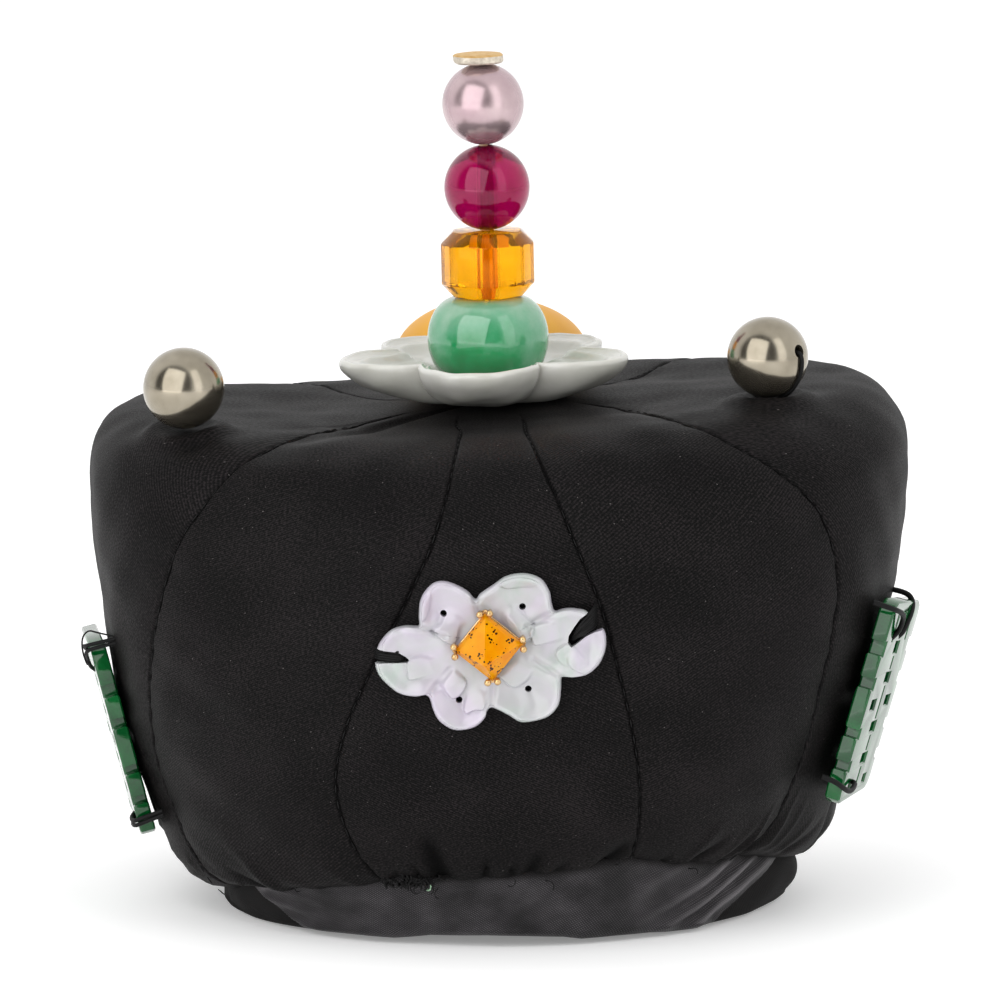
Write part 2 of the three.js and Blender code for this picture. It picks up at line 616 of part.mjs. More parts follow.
// taper is the share of its height that the plate loses for each mm towards +X.
function fretGeometry(taper) {
  const halfWidth = fret.width / 2;
  const halfHeight = fret.height / 2;
  const cut = fret.cornerCut;
  const side = [[halfWidth - cut, halfHeight], [halfWidth - cut * 0.3, halfHeight - cut * 0.3], [halfWidth, halfHeight - cut]];
  for (const { from, to } of fret.notches) {
    side.push([halfWidth, to], [halfWidth - fret.notchDepth, to], [halfWidth - fret.notchDepth, from], [halfWidth, from]);
  }
  side.push([halfWidth, -halfHeight + cut], [halfWidth - cut * 0.3, -halfHeight + cut * 0.3], [halfWidth - cut, -halfHeight]);
  const mirrored = side.map(([x, y]) => [-x, y]).reverse();
  const shape = new THREE.Shape([...side, ...mirrored].map(([x, y]) => new THREE.Vector2(x, y)).reverse());
  const opening = (x, y, width, height) => {
    const [w, h] = [width / 2, height / 2];
    shape.holes.push(new THREE.Path([[-w, -h], [-w, h], [w, h], [w, -h]].map(([dx, dy]) => new THREE.Vector2(x + dx, y + dy))));
  };
  for (const { x, y, width, height } of fret.windows) {
    opening(x, y, width, height);
    if (x !== 0) opening(-x, y, width, height);
  }
  for (const { from, to } of fret.slits) opening(0, (from + to) / 2, fret.slitWidth, to - from);
  const options = { depth: fret.thickness - 2 * fret.bevel, bevelSize: fret.bevel, bevelThickness: fret.bevel, bevelOffset: -fret.bevel, bevelSegments: 1 };
  const geometry = new THREE.ExtrudeGeometry(shape, options).translate(0, 0, fret.bevel);
  const points = geometry.attributes.position;
  for (let i = 0; i < points.count; i++) points.setY(i, points.getY(i) * (1 - taper * points.getX(i)));
  geometry.computeVertexNormals();
  return geometry;
}

function sidePlate(place) {
  const group = seatedGroup({ ...place, lift: 0.2 });
  group.add(mesh(place.name, fretGeometry(place.taper), 0x1f6b3a, 0.2));
  return group;
}

// The whole coronet, moved so that the middle of its foot is the origin

const coronet = new THREE.Group();
gores.forEach(({ name, color }, index) => coronet.add(mesh(name, goreGeometry(index), color, 0.5)));
coronet.add(hemBand(), stackGroup(), backStoneMesh(), plaqueGroup());
coronet.add(...shoulderPearls.map(shoulderPearl), ...sidePlates.map(sidePlate));

const extent = new THREE.Box3().setFromObject(coronet, true);
const middle = extent.getCenter(vector(0, 0, 0));
coronet.position.set(-middle.x, -middle.y, -extent.min.z);

export default coronet;
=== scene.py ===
# Padded satin bridal coronet with jade, amber and pearls. Front is -Y, up is +Z, metres.
import math
import random
import bpy
import numpy as np
from mathutils import Matrix, Vector


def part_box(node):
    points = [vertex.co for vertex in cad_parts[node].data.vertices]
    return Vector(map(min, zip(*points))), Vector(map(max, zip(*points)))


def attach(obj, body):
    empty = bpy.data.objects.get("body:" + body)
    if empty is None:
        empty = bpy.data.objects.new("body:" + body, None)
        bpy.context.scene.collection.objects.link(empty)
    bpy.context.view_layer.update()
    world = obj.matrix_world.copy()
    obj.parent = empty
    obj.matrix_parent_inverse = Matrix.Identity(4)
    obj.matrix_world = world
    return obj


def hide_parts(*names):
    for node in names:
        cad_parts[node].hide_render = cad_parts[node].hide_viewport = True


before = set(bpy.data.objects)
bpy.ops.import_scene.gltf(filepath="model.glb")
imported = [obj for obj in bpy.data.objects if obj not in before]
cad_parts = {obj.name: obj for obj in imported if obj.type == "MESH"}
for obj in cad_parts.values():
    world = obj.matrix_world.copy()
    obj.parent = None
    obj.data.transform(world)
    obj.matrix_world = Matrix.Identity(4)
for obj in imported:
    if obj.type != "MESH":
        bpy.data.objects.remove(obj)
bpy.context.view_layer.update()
mm = 0.001
print("frame loaded:", len(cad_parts), "nodes")


# small tools

def deselectAll():
    if bpy.context.object and bpy.context.object.mode != "OBJECT":
        bpy.ops.object.mode_set(mode="OBJECT")
    bpy.ops.object.select_all(action="DESELECT")


def makeActive(*pieces):
    deselectAll()
    for piece in pieces:
        piece.select_set(True)
    bpy.context.view_layer.objects.active = pieces[0]


def editMesh(piece):
    makeActive(piece)
    bpy.ops.object.mode_set(mode="EDIT")
    bpy.ops.mesh.select_mode(type="VERT")
    bpy.ops.mesh.select_all(action="SELECT")


def objectMode():
    bpy.ops.object.mode_set(mode="OBJECT")


def cleanMesh(piece, distance=0.004 * mm):
    editMesh(piece)
    bpy.ops.mesh.remove_doubles(threshold=distance)
    bpy.ops.mesh.normals_make_consistent(inside=False)
    objectMode()


def joined(name, pieces):
    makeActive(*pieces)
    if len(pieces) > 1:
        bpy.ops.object.join()
    whole = bpy.context.object
    whole.name = name
    return whole


def coordinates(piece):
    found = np.empty(len(piece.data.vertices) * 3)
    piece.data.vertices.foreach_get("co", found)
    return found.reshape(-1, 3)


def setCoordinates(piece, points):
    piece.data.vertices.foreach_set("co", np.asarray(points, float).ravel())
    piece.data.update()


def applyModifier(piece, kind, **settings):
    makeActive(piece)
    made = piece.modifiers.new(kind.title(), kind)
    for name, value in settings.items():
        setattr(made, name, value)
    bpy.ops.object.modifier_apply(modifier=made.name)


def cutAway(piece, cutter):
    applyModifier(piece, "BOOLEAN", object=cutter, operation="DIFFERENCE")
    bpy.data.objects.remove(cutter)


def wornRound(piece, width, segments, angle):
    # edges sharper than the angle are rounded; mm and degrees
    applyModifier(piece, "BEVEL", width=width * mm, segments=segments, limit_method="ANGLE",
                  angle_limit=math.radians(angle))


def smoothPiece(piece, angle=None):
    makeActive(piece)
    if angle is None:
        bpy.ops.object.shade_smooth()
    else:
        bpy.ops.object.shade_smooth_by_angle(angle=math.radians(angle))


def settle(piece, material, nodes=()):
    # the piece's finish, its body and the solids that it stands for
    piece.data.materials.clear()
    piece.data.materials.append(material)
    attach(piece, "root")
    if nodes:
        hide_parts(*nodes)
    return piece


def wrappedGrid(name, columns, rows, place):
    # a grid primitive whose corners are sent to place(u, v), both from 0 to 1
    deselectAll()
    bpy.ops.mesh.primitive_grid_add(x_subdivisions=columns, y_subdivisions=rows, size=1)
    piece = bpy.context.object
    piece.name = name
    flat = coordinates(piece)
    setCoordinates(piece, place(flat[:, 0] + 0.5, flat[:, 1] + 0.5))
    return piece


def spunPiece(name, profile, steps):
    # a closed profile of (radius, height) in mm, turned round the Z axis
    deselectAll()
    bpy.ops.mesh.primitive_circle_add(vertices=len(profile), radius=mm, fill_type="NOTHING")
    piece = bpy.context.object
    piece.name = name
    setCoordinates(piece, [(radius * mm, 0, height * mm) for radius, height in profile])
    editMesh(piece)
    bpy.ops.mesh.spin(steps=steps, angle=2 * math.pi, center=(0, 0, 0), axis=(0, 0, 1))
    objectMode()
    cleanMesh(piece, 0.002 * mm)
    return piece


def addRod(radius, length, sides, place=(0, 0, 0)):
    # an upright rod round its middle, in mm
    deselectAll()
    bpy.ops.mesh.primitive_cylinder_add(vertices=sides, radius=radius * mm, depth=length * mm,
                                        location=[p * mm for p in place])
    bpy.ops.object.transform_apply(location=True, rotation=True, scale=True)
    return bpy.context.object


def addBlock(width, height, middle):
    # a square block round its middle, in mm
    deselectAll()
    bpy.ops.mesh.primitive_cube_add(size=1, location=(0, 0, middle * mm))
    block = bpy.context.object
    block.scale = (width * mm, width * mm, height * mm)
    bpy.ops.object.transform_apply(location=True, rotation=True, scale=True)
    return block


def turnMatrix(degrees, axis):
    return Matrix.Rotation(math.radians(degrees), 4, axis)


def setAttribute(piece, name, values):
    piece.data.attributes.new(name, "FLOAT", "POINT").data.foreach_set("value", values)


def bell(away, width, power=2):
    # 1 in the middle, fading over width on both sides
    return np.exp(-np.abs(away / width) ** power)


def threadAlong(name, points, radius, sides=3):
    # a thread laid smoothly through points in metres
    deselectAll()
    bpy.ops.curve.primitive_nurbs_path_add()
    strand = bpy.context.object
    strand.name = name
    curve = strand.data
    curve.splines.clear()
    spline = curve.splines.new("NURBS")
    spline.points.add(len(points) - 1)
    for point, target in zip(spline.points, points):
        point.co = (*target, 1)
    spline.order_u = 3
    spline.use_endpoint_u = True
    spline.resolution_u = 4
    curve.bevel_depth = radius
    curve.bevel_resolution = sides
    curve.use_fill_caps = True
    bpy.ops.object.convert(target="MESH")
    return bpy.context.object


def setUV(piece, change):
    layer = piece.data.uv_layers.active.data
    flat = np.empty(len(layer) * 2)
    layer.foreach_get("uv", flat)
    flat = flat.reshape(-1, 2)
    layer.foreach_set("uv", change(flat[:, 0], flat[:, 1]).ravel())


def linear(hexColour):
    parts = [int(hexColour[i:i + 2], 16) / 255 for i in (1, 3, 5)]
    return [c / 12.92 if c <= 0.04045 else ((c + 0.055) / 1.055) ** 2.4 for c in parts] + [1]


def waveScale(pitch):
    # the scale at which a wave texture's bands lie a pitch in mm apart
    return 2 * math.pi / (20 * pitch * mm)


def addNode(material, kind, values=None, links=None, **settings):
    node = material.node_tree.nodes.new("ShaderNode" + kind)
    for name, value in settings.items():
        setattr(node, name, value)
    for name, value in (values or {}).items():
        node.inputs[name].default_value = value
    for name, socket in (links or {}).items():
        material.node_tree.links.new(socket, node.inputs[name])
    return node


def newMaterial(name, **values):
    material = bpy.data.materials.new(name)
    material.use_nodes = True
    shader = material.node_tree.nodes["Principled BSDF"]
    for socket, value in values.items():
        shader.inputs[socket.replace("_", " ")].default_value = value
    return material, shader


def colourRamp(material, factor, stops):
    ramp = addNode(material, "ValToRGB", links={"Fac": factor})
    band = ramp.color_ramp
    while len(band.elements) < len(stops):
        band.elements.new(0.5)
    for element, (place, colour) in zip(band.elements, stops):
        element.position = place
        element.color = linear(colour)
    return ramp.outputs["Color"]


def link(material, fromSocket, toSocket):
    material.node_tree.links.new(fromSocket, toSocket)


# the cap's surface, the same as the part's own

hemLow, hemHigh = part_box("hem_band")
# mm, the cap's axis in the part's frame; the hem lies 0.423 mm to its left
hemCentre = ((hemLow[0] + hemHigh[0]) / 2 / mm, (hemLow[1] + hemHigh[1]) / 2 / mm)
capCentre = (hemCentre[0] + 0.423, hemCentre[1])
cap = {
    "crownHeight": 73.6,
    "shoulderRise": 2.2,
    "shoulderStart": 15,
    "wall": 6.0,
}
# height at the side and at the front, half width, half depth, squareness, shift,
# and the seams' azimuths: inner left, inner right, outer left, outer right
capSections = np.array([
    (4.4, 8.4, 44.9, 45.0, 2.0, -0.5, 18.5, 27.5, 58, 50),
    (8.4, 11.8, 47.6, 47.4, 2.05, -0.5, 20.5, 26.5, 61, 52.5),
    (14.5, 17.2, 50.0, 49.4, 2.1, -0.5, 23.2, 26, 64.5, 56),
    (23, 25, 52.9, 51.2, 2.2, -0.3, 24.5, 24.8, 64.5, 57),
    (33, 33.5, 55.6, 52.2, 2.3, -0.1, 22.5, 22.5, 61, 56),
    (43, 42.5, 57.6, 52.5, 2.4, 0.0, 18.2, 19.8, 56.8, 56),
    (53, 51, 59.1, 52.0, 2.45, 0.1, 13.8, 17.2, 52.8, 56),
    (62, 58.5, 59.7, 50.5, 2.5, 0.1, 10.2, 14.3, 49.3, 53),
    (68.2, 64.5, 59.5, 47.6, 2.5, 0.2, 8.4, 12, 46.5, 48),
    (72.6, 69, 57.2, 43.4, 2.5, 0, 7.5, 10.5, 45, 44),
    (75.1, 71.9, 53.0, 37.8, 2.45, 0, 7.6, 9.6, 44.5, 41.5),
    (75.2, 73.3, 47.0, 31.0, 2.4, 0, 8.8, 9.4, 47, 42.5),
    (74.5, 73.7, 36.0, 24.5, 2.3, 0, 11, 10.5, 51.5, 46.5),
    (73.7, 73.6, 22.0, 17.5, 2.15, -0.6, 16, 15, 58, 55),
    (73.6, 73.6, 9.0, 8.5, 2.0, -1.0, 21, 20, 64, 63),
    (73.6, 73.6, 1.6, 1.6, 2.0, -1.15, 22.5, 22.5, 67.5, 67.5),
], float)
lastRow = len(capSections) - 1


def between(p0, p1, p2, p3, t):
    # Catmull-Rom: the smooth line from p1 to p2
    return p1 + 0.5 * t * (p2 - p0 + t * (2 * p0 - 5 * p1 + 4 * p2 - p3 + (3 * p1 - p0 - 3 * p2 + p3) * t))


def sectionAt(row):
    # the cap's section at each of an array of rows
    row = np.clip(np.asarray(row, float), 0, lastRow)
    start = np.minimum(np.floor(row).astype(int), lastRow - 1)
    t = (row - start)[:, None]
    return between(*(capSections[np.clip(start + k, 0, lastRow)] for k in (-1, 0, 1, 2)), t)


def capPoints(row, azimuth):
    # mm, azimuth in radians from the front towards +X
    row, azimuth = np.broadcast_arrays(np.asarray(row, float), np.asarray(azimuth, float))
    side, front, width, depth, square, shift = sectionAt(row.ravel())[:, :6].T
    across, along = np.sin(azimuth.ravel()), np.cos(azimuth.ravel())
    reach = (np.abs(across) / width) ** square + (np.abs(along) / depth) ** square
    radius = reach ** (-1 / square)
    level = front + (side - front) * across ** 2
    x = radius * across
    rise = cap["shoulderRise"] * x * np.abs(x) / (x ** 2 + cap["shoulderStart"] ** 2)
    z = level + rise * level / cap["crownHeight"]
    return np.column_stack([x + shift + capCentre[0], -radius * along + capCentre[1], z])


def capPlaces(row, azimuth):
    # points, outward normals and tangents
    step = 0.02
    row, azimuth = np.broadcast_arrays(np.asarray(row, float), np.asarray(azimuth, float))
    tangent = capPoints(row, azimuth + step) - capPoints(row, azimuth - step)
    above, below = np.minimum(row + step, lastRow), np.maximum(row - step, 0)
    upward = capPoints(above, azimuth) - capPoints(below, azimuth)
    tangent /= np.linalg.norm(tangent, axis=1)[:, None]
    normal = np.cross(tangent, upward)
    normal /= np.linalg.norm(normal, axis=1)[:, None]
    return capPoints(row, azimuth), normal, tangent


def capSpot(row, degrees):
    # one point on the cap and the outward normal there
    points, normals, _ = capPlaces([row], [math.radians(degrees)])
    return points[0], normals[0]


def seatMatrix(row, azimuth, lift=0.0, pitch=0.0, turn=0.0, roll=0.0):
    # +Z is the cloth's outward normal, +Y runs up the cap; in metres
    point, normal = capSpot(row, azimuth)
    side = np.cross((0, 0, 1), normal)
    side /= np.linalg.norm(side)
    up = np.cross(normal, side)
    basis = Matrix(np.column_stack([side, up, normal]).tolist()).to_4x4()
    turned = turnMatrix(turn, "Y") @ turnMatrix(pitch, "X") @ turnMatrix(roll, "Z")
    place = Vector((point + normal * (0.3 + lift)) * mm)
    return Matrix.Translation(place) @ basis @ turned


def seamAzimuths(row):
    # the eight seams at an array of rows, radians, counted round from the one left of the front gore
    innerLeft, innerRight, outerLeft, outerRight = sectionAt(row)[:, 6:10].T
    degrees = [-innerLeft, innerRight, outerRight, 180 - outerRight,
               180 - innerRight, 180 + innerLeft, 180 + outerLeft, 360 - outerLeft]
    return np.radians(np.array(degrees))


# materials

def blackSatin():
    # black polyester satin: nearly black, a low sheen, fine diagonal twill lines that turn from gore
    # to gore, a little pale lint, and painted shade: near black in the seams' grooves, the creases and the
    # hem's turn
    material, shader = newMaterial("blackSatin", Specular_IOR_Level=0.08, Sheen_Weight=0.004,
                                   Sheen_Roughness=0.4)
    uv = addNode(material, "UVMap", uv_map="UVMap").outputs["UV"]
    # the twill's ribs lie 0.36 mm apart
    lines = addNode(material, "TexWave", {"Scale": waveScale(0.36), "Distortion": 2.4, "Detail": 3.0,
                                          "Detail Scale": 3.0}, {"Vector": uv}).outputs["Fac"]
    grain = addNode(material, "TexNoise", {"Scale": 1 / (0.35 * mm), "Detail": 3.0}, {"Vector": uv})
    grain = grain.outputs["Fac"]
    cloud = addNode(material, "TexNoise", {"Scale": 1 / (14 * mm), "Detail": 4.0}, {"Vector": uv})
    weave = addNode(material, "Math", {1: 0.22}, {0: lines, 2: grain}, operation="MULTIPLY_ADD").outputs[0]
    soft = addNode(material, "MapRange", {"To Min": 0.12, "To Max": 0.43}, {"Value": cloud.outputs["Fac"]})
    soft = soft.outputs["Result"]
    blend = addNode(material, "Math", {1: 0.9}, {0: weave, 2: soft}, operation="MULTIPLY_ADD").outputs[0]
    cloth = colourRamp(material, blend, [(0.62, "#020202"), (0.83, "#0c0b0b"), (1.0, "#211d1e")])
    # painted shade: the cloth is darkened towards near black in the seams' grooves, in the creases and at the
    # hem's turn
    seam = addNode(material, "Attribute", attribute_name="seamAway").outputs["Fac"]
    away = addNode(material, "Math", links={0: seam}, operation="ABSOLUTE").outputs[0]
    seamShade = addNode(material, "MapRange", {"From Max": 0.32, "To Min": 0.85, "To Max": 0.0},
                     {"Value": away}).outputs["Result"]
    creaseShade = addNode(material, "Attribute", attribute_name="creaseShade").outputs["Fac"]
    paintedShade = addNode(material, "Math", links={0: seamShade, 1: creaseShade}, operation="MAXIMUM").outputs[0]
    shadedCloth = addNode(material, "Mix", {7: linear("#020202")}, {0: paintedShade, 6: cloth}, data_type="RGBA")
    shadedCloth = shadedCloth.outputs[2]
    cells = addNode(material, "TexVoronoi", {"Scale": 1 / (1.7 * mm), "Randomness": 1.0}, {"Vector": uv})
    size = addNode(material, "Math", {1: 0.085}, {0: grain}, operation="MULTIPLY").outputs[0]
    lint = addNode(material, "Math", links={0: cells.outputs["Distance"], 1: size}, operation="LESS_THAN")
    lint = lint.outputs[0]
    dusted = addNode(material, "Mix", {7: linear("#5c5857")}, {0: lint, 6: shadedCloth}, data_type="RGBA")
    link(material, dusted.outputs[2], shader.inputs["Base Color"])
    rough = addNode(material, "MapRange", {"To Min": 0.9, "To Max": 0.5}, {"Value": blend}).outputs["Result"]
    dull = addNode(material, "Math", {1: 0.3}, {0: paintedShade, 2: rough}, operation="MULTIPLY_ADD").outputs[0]
    link(material, dull, shader.inputs["Roughness"])
    fine = addNode(material, "Bump", {"Strength": 0.6, "Distance": 0.1 * mm}, {"Height": weave})
    link(material, fine.outputs["Normal"], shader.inputs["Normal"])
    return material


def ribbedCloth():
    # black ribbed facing cloth: matte, lighter than the satin, with clear ribs; painted highlights on the
    # fold ridges and painted shade on the under layer and under the satin's edge
    material, shader = newMaterial("ribbedCloth", Specular_IOR_Level=0.16, Sheen_Weight=0.01,
                                   Sheen_Roughness=0.5)
    uv = addNode(material, "UVMap", uv_map="UVMap").outputs["UV"]
    ribs = []
    for direction, pitch in ((58, 0.36), (-40, 0.34)):
        turned = addNode(material, "Mapping", {"Rotation": (0, 0, math.radians(direction))}, {"Vector": uv})
        rib = addNode(material, "TexWave", {"Scale": waveScale(pitch), "Distortion": 1.2, "Detail": 2.0},
                      {"Vector": turned.outputs["Vector"]})
        ribs.append(rib.outputs["Fac"])
    mesh = addNode(material, "Math", links={0: ribs[0], 1: ribs[1]}, operation="MULTIPLY").outputs[0]
    cloud = addNode(material, "TexNoise", {"Scale": 1 / (7 * mm), "Detail": 4.0}, {"Vector": uv})
    cloud = cloud.outputs["Fac"]
    blend = addNode(material, "Math", {1: 0.45}, {0: mesh, 2: cloud}, operation="MULTIPLY_ADD").outputs[0]
    cloth = colourRamp(material, blend, [(0.35, "#131213"), (0.65, "#2a282a"), (0.95, "#4d4a4d")])
    # painted shade on the under layer and under the satin's edge, painted highlights on the fold ridges
    under = addNode(material, "Attribute", attribute_name="underShade").outputs["Fac"]
    ridge = addNode(material, "Attribute", attribute_name="foldHighlight").outputs["Fac"]
    lit = addNode(material, "Mix", {7: linear("#7d797c")}, {0: ridge, 6: cloth}, data_type="RGBA")
    shade = addNode(material, "Mix", {7: linear("#0a0808")}, {0: under, 6: lit.outputs[2]}, data_type="RGBA")
    link(material, shade.outputs[2], shader.inputs["Base Color"])
    rough = addNode(material, "MapRange", {"To Min": 0.42, "To Max": 0.85}, {"Value": under})
    link(material, rough.outputs["Result"], shader.inputs["Roughness"])
    bump = addNode(material, "Bump", {"Strength": 0.7, "Distance": 0.08 * mm}, {"Height": mesh})
    link(material, bump.outputs["Normal"], shader.inputs["Normal"])
    return material


def blackLining():
    # thin black cotton lining: dull, a plain weave
    material, shader = newMaterial("blackLining", Roughness=0.85)
    where = addNode(material, "TexCoord").outputs["Object"]
    weave = addNode(material, "TexNoise", {"Scale": 1 / (0.6 * mm), "Detail": 3.0}, {"Vector": where})
    weave = weave.outputs["Fac"]
    cloth = colourRamp(material, weave, [(0.3, "#0e0d0e"), (0.75, "#1c1b1c")])
    link(material, cloth, shader.inputs["Base Color"])
    bump = addNode(material, "Bump", {"Strength": 0.4, "Distance": 0.08 * mm}, {"Height": weave})
    link(material, bump.outputs["Normal"], shader.inputs["Normal"])
    return material


def blackThread():
    # waxed black sewing thread: dull with a slight shine, twisted
    material, shader = newMaterial("blackThread", Roughness=0.6, Specular_IOR_Level=0.2)
    where = addNode(material, "TexCoord").outputs["Object"]
    twist = addNode(material, "TexNoise", {"Scale": 1 / (0.25 * mm), "Detail": 2.0}, {"Vector": where})
    twist = twist.outputs["Fac"]
    fibre = colourRamp(material, twist, [(0.3, "#040404"), (0.8, "#121112")])
    link(material, fibre, shader.inputs["Base Color"])
    bump = addNode(material, "Bump", {"Strength": 0.6, "Distance": 0.08 * mm}, {"Height": twist})
    link(material, bump.outputs["Normal"], shader.inputs["Normal"])
    return material


def polishedJade(name, stops, cloudSize, roughness, glow, ior=1.66, rise=None, coat=0.25, swirl=0.6):
    # jadeite: waxy polish over a cloudy, faintly see-through body; rise is the heights in mm between
    # which it pales
    material, shader = newMaterial(name, Roughness=roughness, IOR=ior, Subsurface_Weight=glow,
                                   Subsurface_Scale=1.6 * mm, Coat_Weight=coat, Coat_Roughness=0.06)
    shader.inputs["Subsurface Radius"].default_value = (1.0, 1.0, 1.0)
    where = addNode(material, "TexCoord").outputs["Object"]
    cloud = addNode(material, "TexNoise", {"Scale": 1 / (cloudSize * mm), "Detail": 5.0, "Roughness": 0.55,
                                           "Distortion": swirl}, {"Vector": where}).outputs["Fac"]
    if rise:
        height = addNode(material, "SeparateXYZ", links={"Vector": where}).outputs["Z"]
        paler = addNode(material, "MapRange", {"From Min": rise[0] * mm, "From Max": rise[1] * mm,
                                               "To Min": -0.22, "To Max": 0.22}, {"Value": height})
        paler = paler.outputs["Result"]
        cloud = addNode(material, "Math", links={0: cloud, 1: paler}, operation="ADD").outputs[0]
    link(material, colourRamp(material, cloud, stops), shader.inputs["Base Color"])
    pits = addNode(material, "TexNoise", {"Scale": 1 / (0.8 * mm), "Detail": 4.0}, {"Vector": where})
    pits = pits.outputs["Fac"]
    bump = addNode(material, "Bump", {"Strength": 0.12, "Distance": 0.08 * mm}, {"Height": pits})
    link(material, bump.outputs["Normal"], shader.inputs["Normal"])
    return material


def amberBody(name, deep, pale, clearness, roughness, milk, shine, tint, specks=False):
    # clear amber: glassy honey orange, with specks of bark where asked
    material, shader = newMaterial(name, Roughness=roughness, IOR=1.54, Transmission_Weight=clearness,
                                   Specular_IOR_Level=shine, Specular_Tint=linear(tint),
                                   Subsurface_Weight=milk, Subsurface_Scale=2.0 * mm)
    shader.inputs["Subsurface Radius"].default_value = (1.0, 0.6, 0.2)
    where = addNode(material, "TexCoord").outputs["Object"]
    cloud = addNode(material, "TexNoise", {"Scale": 1 / (3 * mm), "Detail": 4.0}, {"Vector": where})
    colour = colourRamp(material, cloud.outputs["Fac"], [(0.3, deep), (0.7, pale)])
    if specks:
        cells = addNode(material, "TexVoronoi", {"Scale": 1 / (0.5 * mm)}, {"Vector": where})
        size = addNode(material, "TexNoise", {"Scale": 1 / (1.3 * mm), "Detail": 3.0}, {"Vector": where})
        edge = addNode(material, "MapRange", {"From Min": 0.45, "From Max": 0.66, "To Max": 0.5},
                       {"Value": size.outputs["Fac"]}).outputs["Result"]
        dot = addNode(material, "Math", links={0: cells.outputs["Distance"], 1: edge}, operation="LESS_THAN")
        mixed = addNode(material, "Mix", {7: linear("#241004")}, {0: dot.outputs[0], 6: colour},
                        data_type="RGBA")
        colour = mixed.outputs[2]
    link(material, colour, shader.inputs["Base Color"])
    return material


def pearlSkin(name, base, glow, metal, roughness):
    # pearl: a metallic lustre under a clear skin, cloudy in places
    material, shader = newMaterial(name, Metallic=metal, Roughness=roughness, Coat_Weight=0.2,
                                   Coat_Roughness=0.12)
    where = addNode(material, "TexCoord").outputs["Object"]
    cloud = addNode(material, "TexNoise", {"Scale": 1 / (4 * mm), "Detail": 4.0}, {"Vector": where})
    cloud = cloud.outputs["Fac"]
    skin = colourRamp(material, cloud, [(0.3, base), (0.75, glow)])
    link(material, skin, shader.inputs["Base Color"])
    haze = addNode(material, "MapRange", {"To Min": roughness - 0.04, "To Max": roughness + 0.04},
                   {"Value": cloud})
    link(material, haze.outputs["Result"], shader.inputs["Roughness"])
    return material


def polishedGold(name, colour, glow, roughness, grain=0.3):
    # yellow gold, cast and polished; or gilding over a rough ground
    material, shader = newMaterial(name, Metallic=1.0, Roughness=roughness)
    where = addNode(material, "TexCoord").outputs["Object"]
    cloud = addNode(material, "TexNoise", {"Scale": 1 / (0.7 * mm), "Detail": 3.0}, {"Vector": where})
    cloud = cloud.outputs["Fac"]
    metal = colourRamp(material, cloud, [(0.3, colour), (0.8, glow)])
    link(material, metal, shader.inputs["Base Color"])
    bump = addNode(material, "Bump", {"Strength": grain, "Distance": 0.05 * mm}, {"Height": cloud})
    link(material, bump.outputs["Normal"], shader.inputs["Normal"])
    return material


def twistedCord(name, deep, pale):
    # cotton cord: dull, with the bands of its twist
    material, shader = newMaterial(name, Roughness=0.7)
    where = addNode(material, "TexCoord").outputs["Object"]
    twist = addNode(material, "TexWave", {"Scale": waveScale(1.963), "Distortion": 1.0}, {"Vector": where})
    fibre = colourRamp(material, twist.outputs["Fac"], [(0.2, deep), (0.8, pale)])
    link(material, fibre, shader.inputs["Base Color"])
    return material


satin = blackSatin()
facing = ribbedCloth()
lining = blackLining()
thread = blackThread()
dishJade = polishedJade("greyWhiteJade", [(0.25, "#b9b9af"), (0.55, "#c8c7c0"), (0.8, "#d3d2cf")],
                        9, 0.22, 0.25)
beadJade = polishedJade("mottledGreenJade", [(0.2, "#006c32"), (0.42, "#048a4e"), (0.62, "#5fa07c"),
                                             (0.88, "#93b39c")], 9, 0.07, 0.3, rise=(78, 88), swirl=0.0)
plaqueJade = polishedJade("whiteLavenderJade", [(0.3, "#9fafa4"), (0.5, "#b3b4b6"), (0.7, "#bab2c0")],
                          8, 0.26, 0.25)
plateJade = polishedJade("darkGreenJade", [(0.25, "#013216"), (0.5, "#044c20"), (0.8, "#146b33")],
                         6, 0.08, 0.04, 1.54, coat=0.0)
honeyAmber = polishedJade("opaqueHoneyAmber", [(0.3, "#d8981c"), (0.7, "#e0a428")],
                          12, 0.5, 0.1, 1.54, coat=0.0)
beadAmber = amberBody("clearBeadAmber", "#f4a000", "#fdb400", 0.9, 0.03, milk=0.0, shine=0.06, tint="#ffc870")
stoneAmber = amberBody("speckledAmber", "#f79600", "#ffb80a", 0.4, 0.07, milk=0.3, shine=0.3, tint="#ffd0a0",
                       specks=True)
ruby = amberBody("rubyGlass", "#92043f", "#a80654", 0.7, 0.04, milk=0.2, shine=0.45, tint="#ffc8e0")
greyPearl = pearlSkin("greyPearl", "#8a8272", "#a69e8e", 0.92, 0.18)
pinkPearl = pearlSkin("pinkPearl", "#b0979d", "#c6b0b3", 0.7, 0.25)
gold = polishedGold("polishedGold", "#c09866", "#e2c795", 0.22)
giltPaint = polishedGold("mattGilt", "#cfa566", "#e2c58f", 0.55, 0.9)
roughSilver = polishedGold("roughSilverEdge", "#b8ad9c", "#e8e0d2", 0.5, 0.9)
threadingCord = twistedCord("drillCord", "#d8b690", "#f0d8b8")  # seen through the clear beads
greenThread = twistedCord("paleGreenThread", "#5d7a62", "#86a588")
print("materials made")


# satin cap

